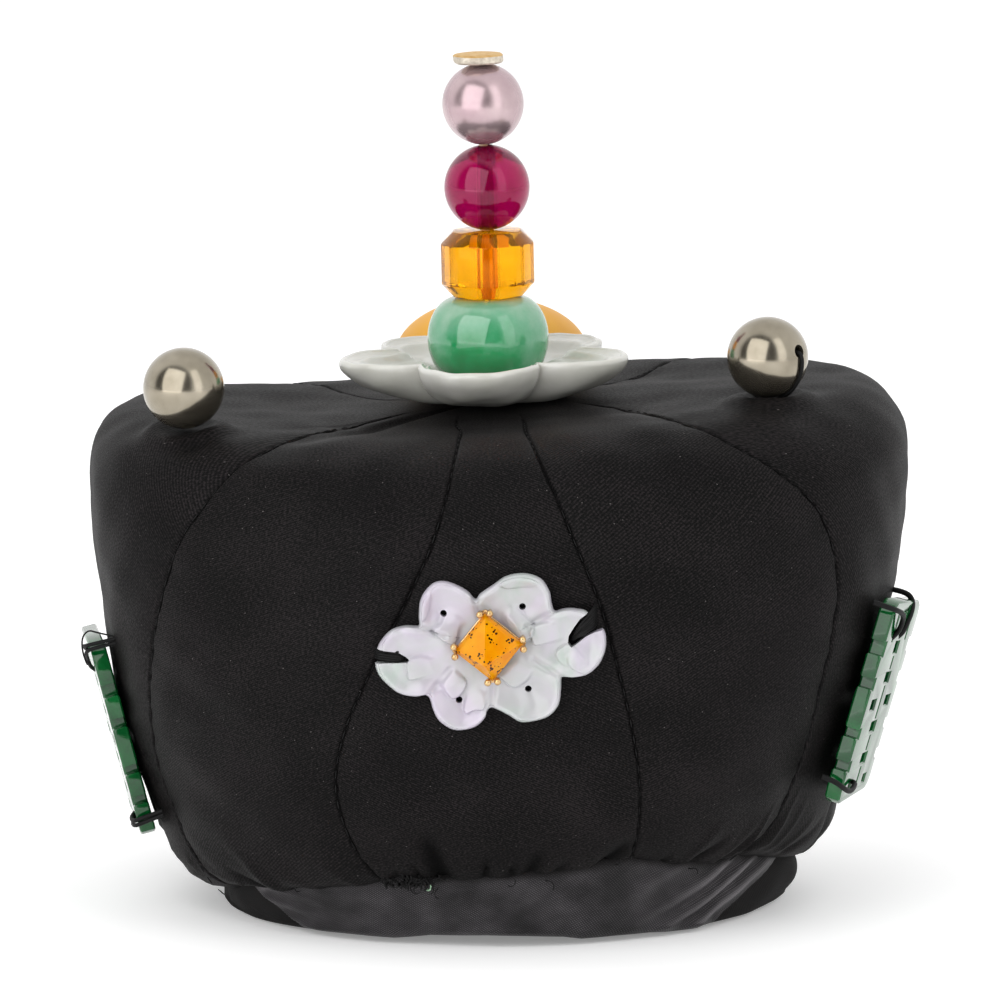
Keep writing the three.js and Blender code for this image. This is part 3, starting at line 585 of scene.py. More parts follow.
satinCap = {
    "columns": [72, 72, 112, 72, 72, 72, 112, 72],  # of each gore, from the front one to the right
    "crowd": 0.62,  # how much closer the columns lie beside a seam
    "outerRows": 132,
    "innerRows": 20,
    "grooveDepth": 0.42,  # mm
    "grooveWidth": 0.27,
    "puffDepth": 0.3,
    "puffWidth": 3.5,
    "puckerDepth": 0.22,
    "puckerPitch": 4.2,
    "dentDepth": 0.5,
    "meanDip": 0.2,  # taken off again, so that the cloth keeps its size
    "hemTurn": 1.5,  # turned in at the hem
    "leftTuck": (5.4, -82, 22),  # drawn in above the hem: depth, azimuth and width in degrees
    "rightFullness": (1.25, 90, 24),
    "pearlRing": (1.1, 5.0, 1.9),  # the cloth rises round each pearl: height, radius, width
    "crownSunk": (0.5, 0.3),  # the padding has sunk a little on top, left and right
    "twill": [62, 118, 35, 100, 60, 125, 40, 118],  # the weave's direction in each gore, degrees
}
# how far the satin's lower edge and the foot of the facing stand above their plain rings: azimuth, mm
satinEdge = [
    (-180, 0), (-130, 0), (-105, -1.2), (-92, -2.6), (-80, -4.0), (-68, -4.2), (-61, -2.8), (-54, -1.3),
    (-50, -0.9), (-44, -0.6), (-36, 0.1), (-28, 0.3), (-24, 0.5), (-20, 1.1), (-16, 2.1), (-12, 1.6),
    (-8, 1.2), (-4, 1.3), (0, 1.6), (4, 1.5), (8, 1.9), (12, 2.1), (16, 2.6), (20, 3.2), (24, 3.7),
    (28, 4.2), (32, 3.7), (36, 3.4), (40, 3.2), (44, 2.9), (48, 3.1), (52, 3.5), (60, 3.4), (70, 2.8),
    (80, 1.9), (95, 1.2), (125, 0), (180, 0),
]
footEdge = [
    (-180, 0), (-70, 0.1), (-56, 0), (-44, 0.3), (-32, 0.5), (-20, 0.55), (-16, 0.9), (-12, 1.3), (0, 1.45),
    (8, 1.3), (12, 1.15), (16, 1.0), (20, 0.55), (28, 0.6), (36, 0.5), (40, 0.25), (48, 0), (52, 0.3),
    (60, 0.2), (75, 0.1), (180, 0),
]
# creases in the satin: azimuth and height of each end, depth and width in mm; a ridge has a negative depth
creases = [
    (-84, 13, -79.5, 10.1, -0.35, 0.5), (-79.5, 10.1, -63, 7.9, -0.4, 0.5),
    (-63, 7.9, -51.5, 6.1, -0.4, 0.45), (-78, 8.6, -60, 6.6, -0.3, 0.4), (-76, 5.6, -54.5, 5.7, -0.35, 0.5),
    (-49.5, 14, -45, 10.6, -0.3, 1.1), (-45, 10.6, -40.5, 6.8, -0.7, 0.8), (-52, 8.4, -45.5, 6.6, 1.0, 0.9),
    (-38.5, 9.4, -33, 7.6, -0.45, 0.8), (-28.5, 12, -23.5, 9.2, -0.35, 0.9),
    (-20, 11.5, -16.5, 10.2, -0.3, 0.7), (-13, 13.4, -12, 11.3, 0.7, 0.5), (-9.8, 17, -7.8, 11, 1.6, 1.3),
    (0.2, 14.2, 0, 11.2, 1.2, 0.5), (5.0, 13.4, 4.6, 11.4, 1.1, 0.55), (9.6, 15.5, 8, 11.6, 1.1, 1.1),
    (14.4, 13.8, 13, 11.7, 0.8, 0.8), (24.8, 15.8, 22, 12.4, 1.3, 1.2), (19.5, 14.5, 18, 12, -0.3, 1.2),
    (33, 13.6, 34, 11.6, 0.6, 0.8), (37.5, 12.3, 41.5, 17.1, -0.5, 0.8), (40.5, 11.9, 44, 15, 0.8, 0.9),
    (45, 11.1, 50, 16.4, -0.5, 0.8), (47, 11.2, 50, 14.4, 0.6, 0.7), (49.2, 11.1, 52.5, 16, -0.4, 0.5),
    (50.4, 12.4, 53.4, 19, -0.35, 0.4), (57, 12.4, 60, 20, -0.35, 0.5), (60, 11.6, 63.5, 18, -0.3, 0.5),
    (63.5, 10.9, 68.5, 15.4, -0.35, 0.5), (53.8, 11.6, 56.8, 16.4, 0.6, 0.7),
    (66.5, 10.2, 73, 14.2, 0.5, 0.8), (-59.5, 71.9, -54.5, 70.8, 0.5, 0.7),
]
# gathers all round the sides and back
foldRandom = random.Random(11)
for k in range(36):
    fold = 78 + k * (204 / 35) + foldRandom.uniform(-2, 2)
    creases.append((fold, 5.2, fold + foldRandom.uniform(-6, 6), foldRandom.uniform(9, 19),
                    foldRandom.uniform(0.7, 1.5), foldRandom.uniform(0.7, 1.5)))
# small hollows in the cloth: azimuth in degrees, height, depth and width in mm
clothDents = [
    (-37, 56, 0.7, 4.5), (-44, 74, 0.6, 4), (60, 64, 0.3, 9), (30, 40, 0.25, 12), (-20, 30, 0.25, 10),
]
pearlShape = {"radius": 5.9, "bore": 1.0, "rise": 6.2}
shoulderPearls = [
    {"name": "shoulder_pearl_left", "node": "pearl_left", "seat": (10.2, -62.5),
     "bore": (-0.15, 0.42, 0.895)},
    {"name": "shoulder_pearl_right", "node": "pearl_right", "seat": (11, 64),
     "bore": (0.78, -0.58, 0.23)},
]


def softNoise(points, size, seed):
    # smooth three-way waves, cheap and the same every run
    rng = np.random.default_rng(seed)
    total = np.zeros(len(points))
    for _ in range(9):
        wave = rng.normal(size=3)
        wave *= 2 * math.pi / (size * rng.uniform(0.7, 1.6)) / np.linalg.norm(wave)
        total += np.sin(points @ wave + rng.uniform(0, 2 * math.pi))
    return total / 3


def degreesOf(azimuth):
    return (np.degrees(azimuth) + 180) % 360 - 180


def alongTable(table, azimuth):
    places, values = np.array(table, float).T
    return np.interp(degreesOf(azimuth), places, values)


def edgeLift(row, azimuth, height):
    # how far the gathered lower edge lifts the cloth above it
    raised = height - capPoints(0 * row, azimuth)[:, 2]
    return alongTable(satinEdge, azimuth) * bell(np.maximum(raised, 0), 7)


def leftTuck(degrees):
    depth, middle, width = satinCap["leftTuck"]
    return depth * bell(degrees - middle, width)


def creaseDip(azimuth, height):
    # dips of all the creases: each is a line on the cloth with a soft section that fades at its upper end
    total = np.zeros(len(azimuth))
    for startAt, startUp, endAt, endUp, depth, width in creases:
        turn = (azimuth - math.radians(startAt) + math.pi) % (2 * math.pi) - math.pi
        radius = 46.0
        x, y = turn * radius, height - startUp
        near = (np.abs(x) < 30) & (np.abs(y) < 30)
        dx, dy = math.radians(endAt - startAt) * radius, endUp - startUp
        length = math.hypot(dx, dy)
        x, y = x[near], y[near]
        along = np.clip((x * dx + y * dy) / length ** 2, 0, 1)
        away = np.hypot(x - along * dx, y - along * dy)
        share = along if startUp > endUp else 1 - along
        total[near] += depth * (0.25 + 0.75 * share ** 0.7) * bell(away, width, 1.7)
    return total


def satinDepth(row, azimuth, points, seamAway):
    # how far the cloth dips below the cap's plain surface, mm
    radius = np.hypot(points[:, 0] - capCentre[0], points[:, 1] - capCentre[1])
    height = points[:, 2]
    near = np.abs(seamAway)
    crownFade = np.clip((radius - 13) / 12, 0, 1)
    dip = satinCap["grooveDepth"] * bell(near, satinCap["grooveWidth"])
    dip += satinCap["puffDepth"] * bell(near, satinCap["puffWidth"], 1.2)
    waves = 2 * math.pi * (height + 0.35 * radius) / satinCap["puckerPitch"]
    puckers = 0.5 + 0.5 * np.sin(waves + 2.6 * softNoise(points, 14, 5) + np.sign(seamAway))
    dip += satinCap["puckerDepth"] * puckers * np.exp(-near / 2.6)
    dip *= crownFade
    dip += satinCap["dentDepth"] * 0.5 * softNoise(points, 30, 3) * crownFade
    dip += 0.12 * softNoise(points, 9, 12) * crownFade
    dip += creaseDip(azimuth, height)
    degrees = degreesOf(azimuth)
    for place, level, depth, width in clothDents:
        angle = degreesOf(azimuth - math.radians(place)) * 0.9
        dip += depth * bell(angle, width) * bell(height - level, width)
    ringHeight, ringRadius, ringWidth = satinCap["pearlRing"]
    for pearl in shoulderPearls:
        seat, _ = capSpot(*pearl["seat"])
        away = np.linalg.norm(points - seat, axis=1)
        dip -= ringHeight * bell(away - ringRadius, ringWidth)
    start = capPoints(0 * row, azimuth)[:, 2] + alongTable(satinEdge, azimuth)
    above = np.maximum(height - start, 0)
    dip += satinCap["hemTurn"] * bell(above, 0.9, 1.5)
    dip += leftTuck(degrees) * bell(above, 5.0, 1.5)
    fullness, middle, width = satinCap["rightFullness"]
    dip -= fullness * bell(degrees - middle, width) * bell(above - 5, 4.5)
    top = np.clip((height - 69) / 4, 0, 1) * crownFade
    dip += top * np.where(points[:, 0] < capCentre[0], *satinCap["crownSunk"])
    return dip - satinCap["meanDip"] * crownFade


def evenRows(count):
    # rows spaced by their length along the front and the side
    fine = np.linspace(0, lastRow, 1200)
    lengths = np.zeros(len(fine))
    for azimuth in (0.0, 0.9, 1.6):
        line = capPoints(fine, np.full(len(fine), azimuth))
        lengths[1:] += np.cumsum(np.linalg.norm(np.diff(line, axis=0), axis=1)) / 3
    return np.interp(np.linspace(0, lengths[-1], count), lengths, fine), lengths[-1]


def goreColumns():
    # for each column round the cap: its gore, and its share of the way across it
    gore, share = [], []
    for index, count in enumerate(satinCap["columns"]):
        t = np.arange(count) / count
        gore += [index] * count
        share += list(t - satinCap["crowd"] * np.sin(2 * math.pi * t) / (2 * math.pi))
    return np.array(gore + [8]), np.array(share + [0.0])


def gorePlace(row, gore, share):
    # azimuth, and the signed distance in mm to the nearest seam
    seams = seamAzimuths(row)
    seams = np.vstack([seams, seams[:2] + 2 * math.pi])
    pick = np.arange(len(row))
    low, high = seams[gore, pick], seams[gore + 1, pick]
    azimuth = low + (high - low) * share
    points = capPoints(row, azimuth)
    radius = np.hypot(points[:, 0] - capCentre[0], points[:, 1] - capCentre[1])
    away = np.where(share < 0.5, azimuth - low, azimuth - high) * radius
    return azimuth, away, (azimuth - (low + high) / 2) * radius


def buildSatinCap():
    rows, length = evenRows(1201)
    gores, shares = goreColumns()
    total = satinCap["outerRows"] + satinCap["innerRows"]
    split = satinCap["outerRows"] / total
    columns = len(gores) - 1

    def rowAt(v):
        share = np.where(v <= split + 1e-6, v / split, (1 - v) / (1 - split))
        return share, np.interp(share, np.linspace(0, 1, len(rows)), rows)

    def place(u, v):
        share, row = rowAt(v)
        column = np.rint(u * columns).astype(int)
        azimuth, away, _ = gorePlace(row, gores[column], shares[column])
        points, normals, _ = capPlaces(row, azimuth)
        points[:, 2] += edgeLift(row, azimuth, points[:, 2])
        outside = v <= split + 1e-6
        dip = np.where(outside, satinDepth(row, azimuth, points, away), cap["wall"])
        dip = np.where(~outside & (share < 0.02), cap["wall"] - 0.8, dip)
        return (points - normals * dip[:, None]) * mm

    piece = wrappedGrid("satin_cap", columns, total, place)
    # the weave runs its own way in each gore, and every point knows how far the nearest seam is
    flat = np.empty(len(piece.data.loops) * 2)
    piece.data.uv_layers.active.data.foreach_get("uv", flat)
    flat = flat.reshape(-1, 2)
    _, row = rowAt(flat[:, 1])
    centre = np.repeat(flat.reshape(-1, 4, 2).mean(1), 4, axis=0)
    column = np.rint(flat[:, 0] * columns).astype(int)
    gore = gores[np.floor(centre[:, 0] * columns).astype(int)]
    share = np.where(gores[column] == gore, shares[column], 1.0)
    _, _, across = gorePlace(row, gore, share)
    up = np.interp(row, rows, np.linspace(0, length, len(rows)))
    turn = np.radians(np.array(satinCap["twill"]))[gore]
    weave = (across * np.cos(turn) + up * np.sin(turn), up * np.cos(turn) - across * np.sin(turn))
    setUV(piece, lambda u, v: np.column_stack(weave) * mm)
    _, row = rowAt(np.repeat(np.linspace(0, 1, total + 1), columns + 1))
    column = np.tile(np.arange(columns + 1), total + 1)
    azimuth, away, _ = gorePlace(row, gores[column], shares[column])
    points = capPoints(row, azimuth)
    radius = np.hypot(points[:, 0] - capCentre[0], points[:, 1] - capCentre[1])
    away = np.where(radius < 17, 6, away)  # the seams run out under the dish
    setAttribute(piece, "seamAway", np.clip(away, -6, 6))
    above = points[:, 2] - capPoints(0 * row, azimuth)[:, 2]
    height = points[:, 2] + edgeLift(row, azimuth, points[:, 2])
    # painted shade in the creases and along the turned-in lower edge
    shade = np.clip(creaseDip(azimuth, height) / 0.9, 0, 1) + 0.9 * bell(above, 0.7)
    setAttribute(piece, "creaseShade", np.clip(shade, 0, 0.95))
    cleanMesh(piece)
    smoothPiece(piece)
    settle(piece, satin, [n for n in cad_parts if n.startswith("panel_")])
    # faces that look towards the middle of the cap's inner space are the inside
    piece.data.materials.append(lining)
    centres, normals = np.empty((2, len(piece.data.polygons) * 3))
    piece.data.polygons.foreach_get("center", centres)
    piece.data.polygons.foreach_get("normal", normals)
    outward = centres.reshape(-1, 3) - np.array([capCentre[0] * mm, capCentre[1] * mm, 45 * mm])
    isInner = (outward * normals.reshape(-1, 3)).sum(1) < 0
    piece.data.polygons.foreach_set("material_index", isInner.astype(int))
    return piece


buildSatinCap()
print("satin cap made")


# hem

hemCloth = {
    "columns": 720, "rows": 44,
    "footRadius": 40.4, "footWall": 3.8, "footFuller": 0.7,
    "topBehind": 1.5, "insideBehind": 4.6, "topTuck": 1.0,  # behind and above the satin's edge
    "sole": 0.12, "face": 0.74,  # shares of the band's section
    "step": 0.65, "rightBulge": 2.3, "fold": 0.6, "leftFold": 0.28,
    "roundTheHem": 265, "acrossTheBand": 19,
}


def onFacing(degrees, drop):
    # 1 where the outer facing covers the under layer; drop is 0 at its top and 1 at the foot
    left = degrees - (-54 + 13 * drop)
    right = (74 - 22 * drop) - degrees
    edge = np.minimum(left, right)
    return np.clip(0.5 + edge / 0.5, 0, 1)


def facingDrop(v):
    return np.clip(1 - (v - hemCloth["sole"]) / hemCloth["face"], 0, 1)


def facingFolds(degrees, drop):
    # the facing's soft diagonal folds
    diagonal = degrees + 26 * drop
    return np.sin(2 * math.pi * (diagonal - 3) / 9.5 + 0.8 * np.sin(diagonal / 5))


def buildHem():
    # a rolled band that ends under the satin's gathered edge, with the facing folded over its front
    endOfFace = hemCloth["sole"] + hemCloth["face"]

    def place(u, v):
        azimuth = 2 * math.pi * u - math.pi
        degrees = np.degrees(azimuth)
        edge, normal, _ = capPlaces(0 * u, azimuth)
        edge[:, 2] += alongTable(satinEdge, azimuth)
        outward = np.column_stack([np.sin(azimuth), -np.cos(azimuth), 0 * azimuth])
        top = edge - normal * (hemCloth["topBehind"] + leftTuck(degrees))[:, None]
        top[:, 2] += hemCloth["topTuck"]
        inside = edge - normal * (hemCloth["insideBehind"] + leftTuck(degrees))[:, None]
        centre = np.array([hemCentre[0], hemCentre[1], 0])
        fuller = hemCloth["footFuller"] * bell(degrees - 85, 28)
        foot = centre + outward * (hemCloth["footRadius"] - hemCloth["step"] + fuller)[:, None]
        foot[:, 2] = alongTable(footEdge, azimuth)
        footInside = centre + outward * (hemCloth["footRadius"] - hemCloth["footWall"])
        footInside[:, 2] = foot[:, 2] + 0.3
        # shares of the way: the inside, the sole, the outer face, the tucked top
        result = np.zeros_like(top)
        sole = v < hemCloth["sole"]
        outer = ~sole & (v < endOfFace)
        t = np.clip(v / hemCloth["sole"], 0, 1)[:, None]
        result[sole] = (footInside * (1 - t) + foot * t)[sole]
        drop = facingDrop(v)
        face = foot * drop[:, None] + top * (1 - drop[:, None])
        roundness = np.sin(np.clip(1 - drop, 0, 1) * math.pi) ** 0.7
        cover = onFacing(degrees, drop)
        turnedOver = np.sin(np.clip((1 - drop) / 0.12, 0, 1) * math.pi / 2)
        bulge = 0.55 * roundness + hemCloth["step"] * cover * (0.4 + 0.6 * turnedOver)
        belly = (1 - np.abs(2 * drop - 1.25) ** 2).clip(0, 1)
        bulge += hemCloth["rightBulge"] * bell(degrees - 88, 20) * belly
        # folds at the right, small ones at the left end
        folds = facingFolds(degrees, drop) * (0.35 + 0.65 * roundness)
        bulge += hemCloth["fold"] * folds * cover * bell(degrees - 52, 17)
        small = np.sin(2 * math.pi * (degrees - 40 * drop) / 11)
        bulge += hemCloth["leftFold"] * small * cover * bell(degrees + 46, 9)
        lip = 0.5 * bell(drop - 0.93, 0.05) * (0.5 + 0.5 * np.sin(9 * azimuth + 0.7))
        bulge += 0.12 * softNoise(face, 13, 21) + 0.07 * softNoise(face, 5, 22) + lip
        face = face + outward * bulge[:, None]
        result[outer] = face[outer]
        t = np.clip((v - endOfFace) / (1 - endOfFace), 0, 1)[:, None]
        roll = top * (1 - t) + inside * t
        result[~(sole | outer)] = roll[~(sole | outer)]
        return result * mm

    piece = wrappedGrid("hem_facing", hemCloth["columns"], hemCloth["rows"], place)
    degrees = np.tile(np.linspace(-180, 180, hemCloth["columns"] + 1), hemCloth["rows"] + 1)
    v = np.repeat(np.linspace(0, 1, hemCloth["rows"] + 1), hemCloth["columns"] + 1)
    drop = facingDrop(v)
    # painted shadow under the satin's overhanging edge, and painted shade on the under layer beside the
    # overlap
    shadow = 0.9 * np.clip(1.7 - drop / 0.1, 0, 1)  # the satin's edge overhangs
    setAttribute(piece, "underShade", np.maximum(1 - onFacing(degrees, drop), shadow))
    # painted highlights: pale streaks along the fold ridges at the right and a thin line at the left end
    ridge = 0.5 * np.clip(facingFolds(degrees, drop), 0, 1) ** 2 * bell(degrees - 54, 13) * (v > 0.2)
    ridge += 0.35 * bell(degrees + 26 * drop + 44, 2.5) * bell(degrees + 48, 9)
    setAttribute(piece, "foldHighlight", ridge)
    size = (hemCloth["roundTheHem"] * mm, hemCloth["acrossTheBand"] * mm)
    setUV(piece, lambda u, v: np.column_stack([u * size[0], v * size[1]]))
    cleanMesh(piece)
    smoothPiece(piece)
    settle(piece, facing, ["hem_band"])
    return piece


buildHem()
print("hem made")


# dish and bead stack

stackFoot = Vector((capCentre[0] - 1.15, capCentre[1], cap["crownHeight"]))
stackMatrix = Matrix.Translation(stackFoot * mm) @ turnMatrix(-1.4, "Y")
stack = {
    "jadeBottom": 3.2, "jadeHeight": 12.2, "jadeRadius": 8.9,
    "amberBottom": 15.6, "amberHeight": 9.65, "amberWidth": 13.6, "amberBevel": 1.9,
    "rubyMiddle": 31.55, "rubyRadius": 6.28,
    "pearlMiddle": 43.85, "pearlRadius": 5.98,
    "discBottom": 49.85, "discHeight": 1.35, "discRadius": 3.6,
    "bore": 1.0,
}
stackSway = {"jade": 0.0, "amber": 0.22, "ruby": 0.38, "pearl": 0.1, "disc": -0.4}  # mm, loose on the thread
dish = {
    "petals": 5, "turn": -3, "shift": -0.4,
    "tip": 21.9, "notch": 15.0, "tipHeight": 6.9, "notchHeight": 7.0, "centre": 2.6, "foot": 6.5,
    "hole": 1.4, "lip": 0.65, "ridge": 0.3,
    "underEnd": 0.42, "rimEnd": 0.6,  # shares of the section
}


def buildDish():
    def place(u, v):
        azimuth = 2 * math.pi * u - math.pi
        wave = dish["petals"] / 2 * (azimuth - math.radians(dish["turn"]))
        petal = np.abs(np.cos(wave)) ** 0.85
        keel = np.abs(np.cos(wave)) ** 5  # 1 on a petal's middle
        rim = dish["notch"] + (dish["tip"] - dish["notch"]) * petal
        rimHeight = dish["notchHeight"] + (dish["tipHeight"] - dish["notchHeight"]) * petal
        r = dish["lip"]
        under, upper = v < dish["underEnd"], v > dish["rimEnd"]
        # the rounded rim
        turn = np.clip((v - dish["underEnd"]) / (dish["rimEnd"] - dish["underEnd"]), 0, 1) * math.pi * 0.8
        radius = rim - r + r * np.cos(turn)
        height = rimHeight - r + r * np.sin(turn)
        # the scooped inside: a low rib runs in from each notch and a fine ridge follows the rim
        share = np.sin(np.clip((1 - v) / (1 - dish["rimEnd"]), 0, 1) * math.pi / 2)
        lipIn = rim - 1.81 * r
        inner = dish["hole"] + (lipIn - dish["hole"]) * share
        scoop = dish["centre"] + (rimHeight - 0.41 * r - dish["centre"]) * share ** 2.1
        arch = np.sin(share * math.pi)
        scoop += 0.7 * (1 - petal) ** 1.5 * arch - 0.35 * keel * arch ** 2
        scoop += dish["ridge"] * (bell(share - 0.9, 0.035) - bell(share - 0.8, 0.06))
        # the bowl of the underside, steep below the rim
        share = np.sin(np.clip(v / dish["underEnd"], 0, 1) * math.pi / 2)
        outer = dish["hole"] + (rim - dish["hole"]) * share
        rise = np.clip((outer - dish["foot"]) / (rim - dish["foot"]), 0, 1)
        belly = (rimHeight - r) * (0.75 * (1 - np.sqrt(1 - rise ** 2)) + 0.25 * rise ** 2)
        belly += 0.25 * keel * np.sin(np.clip(rise, 0, 1) * math.pi) ** 2
        radius = np.where(upper, inner, np.where(under, outer, radius))
        height = np.where(upper, scoop, np.where(under, belly, height))
        x = radius * np.sin(azimuth)
        y = -radius * np.cos(azimuth)
        chips = 0.1 * softNoise(np.column_stack([x, y, height]), 5, 41) * (share > 0.3)
        return np.column_stack([x + dish["shift"], y, 0.3 + height + chips]) * mm

    piece = wrappedGrid("petalled_dish", 360, 110, place)
    cleanMesh(piece)
    piece.data.transform(stackMatrix)
    smoothPiece(piece, 50)
    settle(piece, dishJade, ["jade_dish"])


def roundedProfile(radius, bore, count=40):
    # half a ball's outline with its drill hole
    start = math.acos(bore / radius)
    turns = [start * (2 * k / count - 1) for k in range(count + 1)]
    outer = [(radius * math.cos(a), radius * math.sin(a)) for a in turns]
    return outer + [(bore, outer[-1][1] - 0.25), (bore, outer[0][1] + 0.25)]


def placeInStack(piece, height, key):
    piece.data.transform(stackMatrix @ Matrix.Translation((stackSway[key] * mm, 0, height * mm)))


def buildStack():
    half = stack["jadeHeight"] / 2
    flat = stack["jadeRadius"] * 0.52  # the flat round its drill hole
    profile = [(1.0, -half)]
    for k in range(41):
        a = math.pi * (k / 40 - 0.5)
        profile.append((flat + (stack["jadeRadius"] - flat) * math.cos(a), half * math.sin(a)))
    profile.append((1.0, half))
    jade = spunPiece("green_jade_bead", profile, 96)
    placeInStack(jade, stack["jadeBottom"] + half, "jade")
    smoothPiece(jade, 40)
    settle(jade, beadJade, ["jade_bead"])

    deselectAll()
    corner = stack["amberWidth"] / 2 / math.cos(math.pi / 8)
    bpy.ops.mesh.primitive_cylinder_add(vertices=8, radius=corner * mm, depth=stack["amberHeight"] * mm,
                                        rotation=(0, 0, math.radians(22.5)))
    amber = bpy.context.object
    bpy.ops.object.transform_apply(rotation=True)
    # its upright edges are cut to narrow facets
    editMesh(amber)
    bpy.ops.mesh.select_all(action="DESELECT")
    objectMode()
    for edge in amber.data.edges:
        a, b = (amber.data.vertices[i].co for i in edge.vertices)
        edge.select = abs(a.z - b.z) < 1e-6
    bpy.ops.object.mode_set(mode="EDIT")
    bpy.ops.mesh.select_mode(type="EDGE")
    bpy.ops.mesh.bevel(offset=stack["amberBevel"] * mm, offset_type="OFFSET", segments=1, affect="EDGES")
    objectMode()
    wornRound(amber, 0.16, 2, 20)
    cutAway(amber, addRod(stack["bore"], 20, 32))
    amber.name = "octagon_amber_bead"
    placeInStack(amber, stack["amberBottom"] + stack["amberHeight"] / 2, "amber")
    smoothPiece(amber, 25)
    settle(amber, beadAmber, ["amber_bead"])

    balls = (("ruby_bead_round", "ruby", ruby, "ruby_red_glass", "ruby_bead"),
             ("pink_pearl_round", "pearl", pinkPearl, "pink_pearl", "pink_pearl"))
    for name, key, material, slot, node in balls:
        ball = spunPiece(name, roundedProfile(stack[key + "Radius"], stack["bore"]), 80)
        placeInStack(ball, stack[key + "Middle"], key)
        smoothPiece(ball, 50)
        settle(ball, material, [node])

    # a thin punched disc, a little crumpled at its rim
    r, h = stack["discRadius"], stack["discHeight"]
    profile = [(0.02, h), (r * 0.6, h + 0.05), (r - 0.25, h), (r, h - 0.2), (r + 0.03, 0.3), (r - 0.2, 0.05),
               (1.2, 0), (0.95, 0.1), (0.9, 0.7), (0.02, 0.7)]
    disc = spunPiece("gilt_disc", profile, 64)
    points = coordinates(disc)
    wobble = 1 + 0.03 * softNoise(points / mm, 3.0, 8)
    points[:, :2] *= wobble[:, None]
    setCoordinates(disc, points)
    placeInStack(disc, stack["discBottom"], "disc")
    smoothPiece(disc, 40)
    settle(disc, giltPaint, ["top_disc"])
    disc.data.materials.append(roughSilver)
    for polygon in disc.data.polygons:
        polygon.material_index = int(polygon.normal.z < 0.6)


buildDish()
buildStack()
print("dish and stack made")


# shoulder pearls and back stone

backStone = {"seat": (10.1, 182.8), "radius": 14.5, "rise": 8.5, "under": 2.6}


def pearlCentre(pearl):
    point, normal = capSpot(*pearl["seat"])
    return point + normal * pearlShape["rise"], normal


def upTurnedTo(direction):
    return Vector((0, 0, 1)).rotation_difference(Vector(direction)).to_matrix().to_4x4()


def buildPearls():
    for pearl in shoulderPearls:
        ball = spunPiece(pearl["name"], roundedProfile(pearlShape["radius"], pearlShape["bore"]), 80)
        centre, _ = pearlCentre(pearl)
        ball.data.transform(Matrix.Translation(Vector(centre * mm)) @ upTurnedTo(pearl["bore"]))
        smoothPiece(ball, 50)
        settle(ball, greyPearl, [pearl["node"]])


def buildBackStone():
    deselectAll()
    bpy.ops.mesh.primitive_uv_sphere_add(segments=96, ring_count=48, radius=1)
    stone = bpy.context.object
    stone.name = "honey_stone"
    x, y, z = coordinates(stone).T
    radius, under = backStone["radius"], backStone["under"]
    height = under + z * np.where(z > 0, backStone["rise"], under)
    setCoordinates(stone, np.column_stack([x * radius, y * radius, height]) * mm)
    stone.data.transform(seatMatrix(*backStone["seat"]))
    smoothPiece(stone)
    settle(stone, honeyAmber, ["back_stone"])


buildPearls()
buildBackStone()
print("pearls and back stone made")


# flower plaque

plaqueSeat = (5.5, 0.25, 0, 2, 0, 0)
plaque = {
    "drop": 0.25, "thickness": 2.6, "edge": 0.55, "holeRadius": 0.48,
    "backEnd": 0.16, "sideEnd": 0.3,  # shares of the section
}
# the plaque's outline with its two slots closed, mm from the stone's centre, clockwise
plaqueOutline = [
    (-1.83, 6.52), (-1.32, 7.23), (0.51, 8.5), (2.28, 9.7), (4.31, 10.15), (6.09, 9.95), (7.61, 9.14),
    (8.58, 7.49), (8.88, 5.84), (9.39, 4.77), (10.91, 5.13), (12.44, 5.08), (14.01, 4.62), (16.2, 2.23),
    (16.62, 0.51), (16.37, -1.27), (15.48, -3.05), (13.96, -4.31), (12.18, -4.7), (10.66, -4.64),
    (10.28, -4.95), (10.2, -6.6), (9.9, -8.63), (8.76, -10.15), (7.1, -10.91), (4.57, -11.24),
    (2.79, -10.28), (1.02, -9.39), (0.2, -9.19), (-0.38, -9.77), (-0.63, -10.66), (-1.78, -11.8),
    (-3.55, -12.39), (-5.33, -12.31), (-7.11, -11.17), (-7.99, -9.64), (-8.5, -7.99), (-9.14, -7.41),
    (-10.66, -7.61), (-12.69, -7.23), (-14.21, -6.22), (-15.74, -4.57), (-16.29, -2.79), (-15.99, -0.71),
    (-15.2, 0.76), (-13.83, 2.03), (-11.93, 2.54), (-10.15, 2.54), (-10.08, 4.06), (-9.9, 6.09),
    (-9.14, 7.61), (-7.87, 8.76), (-6.35, 8.96), (-4.57, 8.38), (-3.05, 7.49), (-2.28, 6.6),
]
plaqueHoles = [(-6.52, 4.39), (4.7, 5.41), (5.53, -6.47), (-4.31, -8.05)]
plaqueSlots = [
    [(-20, -0.65), (-15.99, -0.71), (-12.94, -1.27), (-11.93, -1.83), (-11.37, -2.28), (-11.68, -2.69),
     (-12.94, -2.74), (-16.29, -2.79), (-20, -2.8)],
    [(14.01, 4.62), (12.94, 3.81), (12.06, 2.54), (11.29, 1.27), (11.17, 0.25), (11.68, -0.33),
     (12.31, 0.0), (13.7, 1.14), (14.97, 1.78), (16.2, 2.23), (20, 3.4), (19, 8)],
]
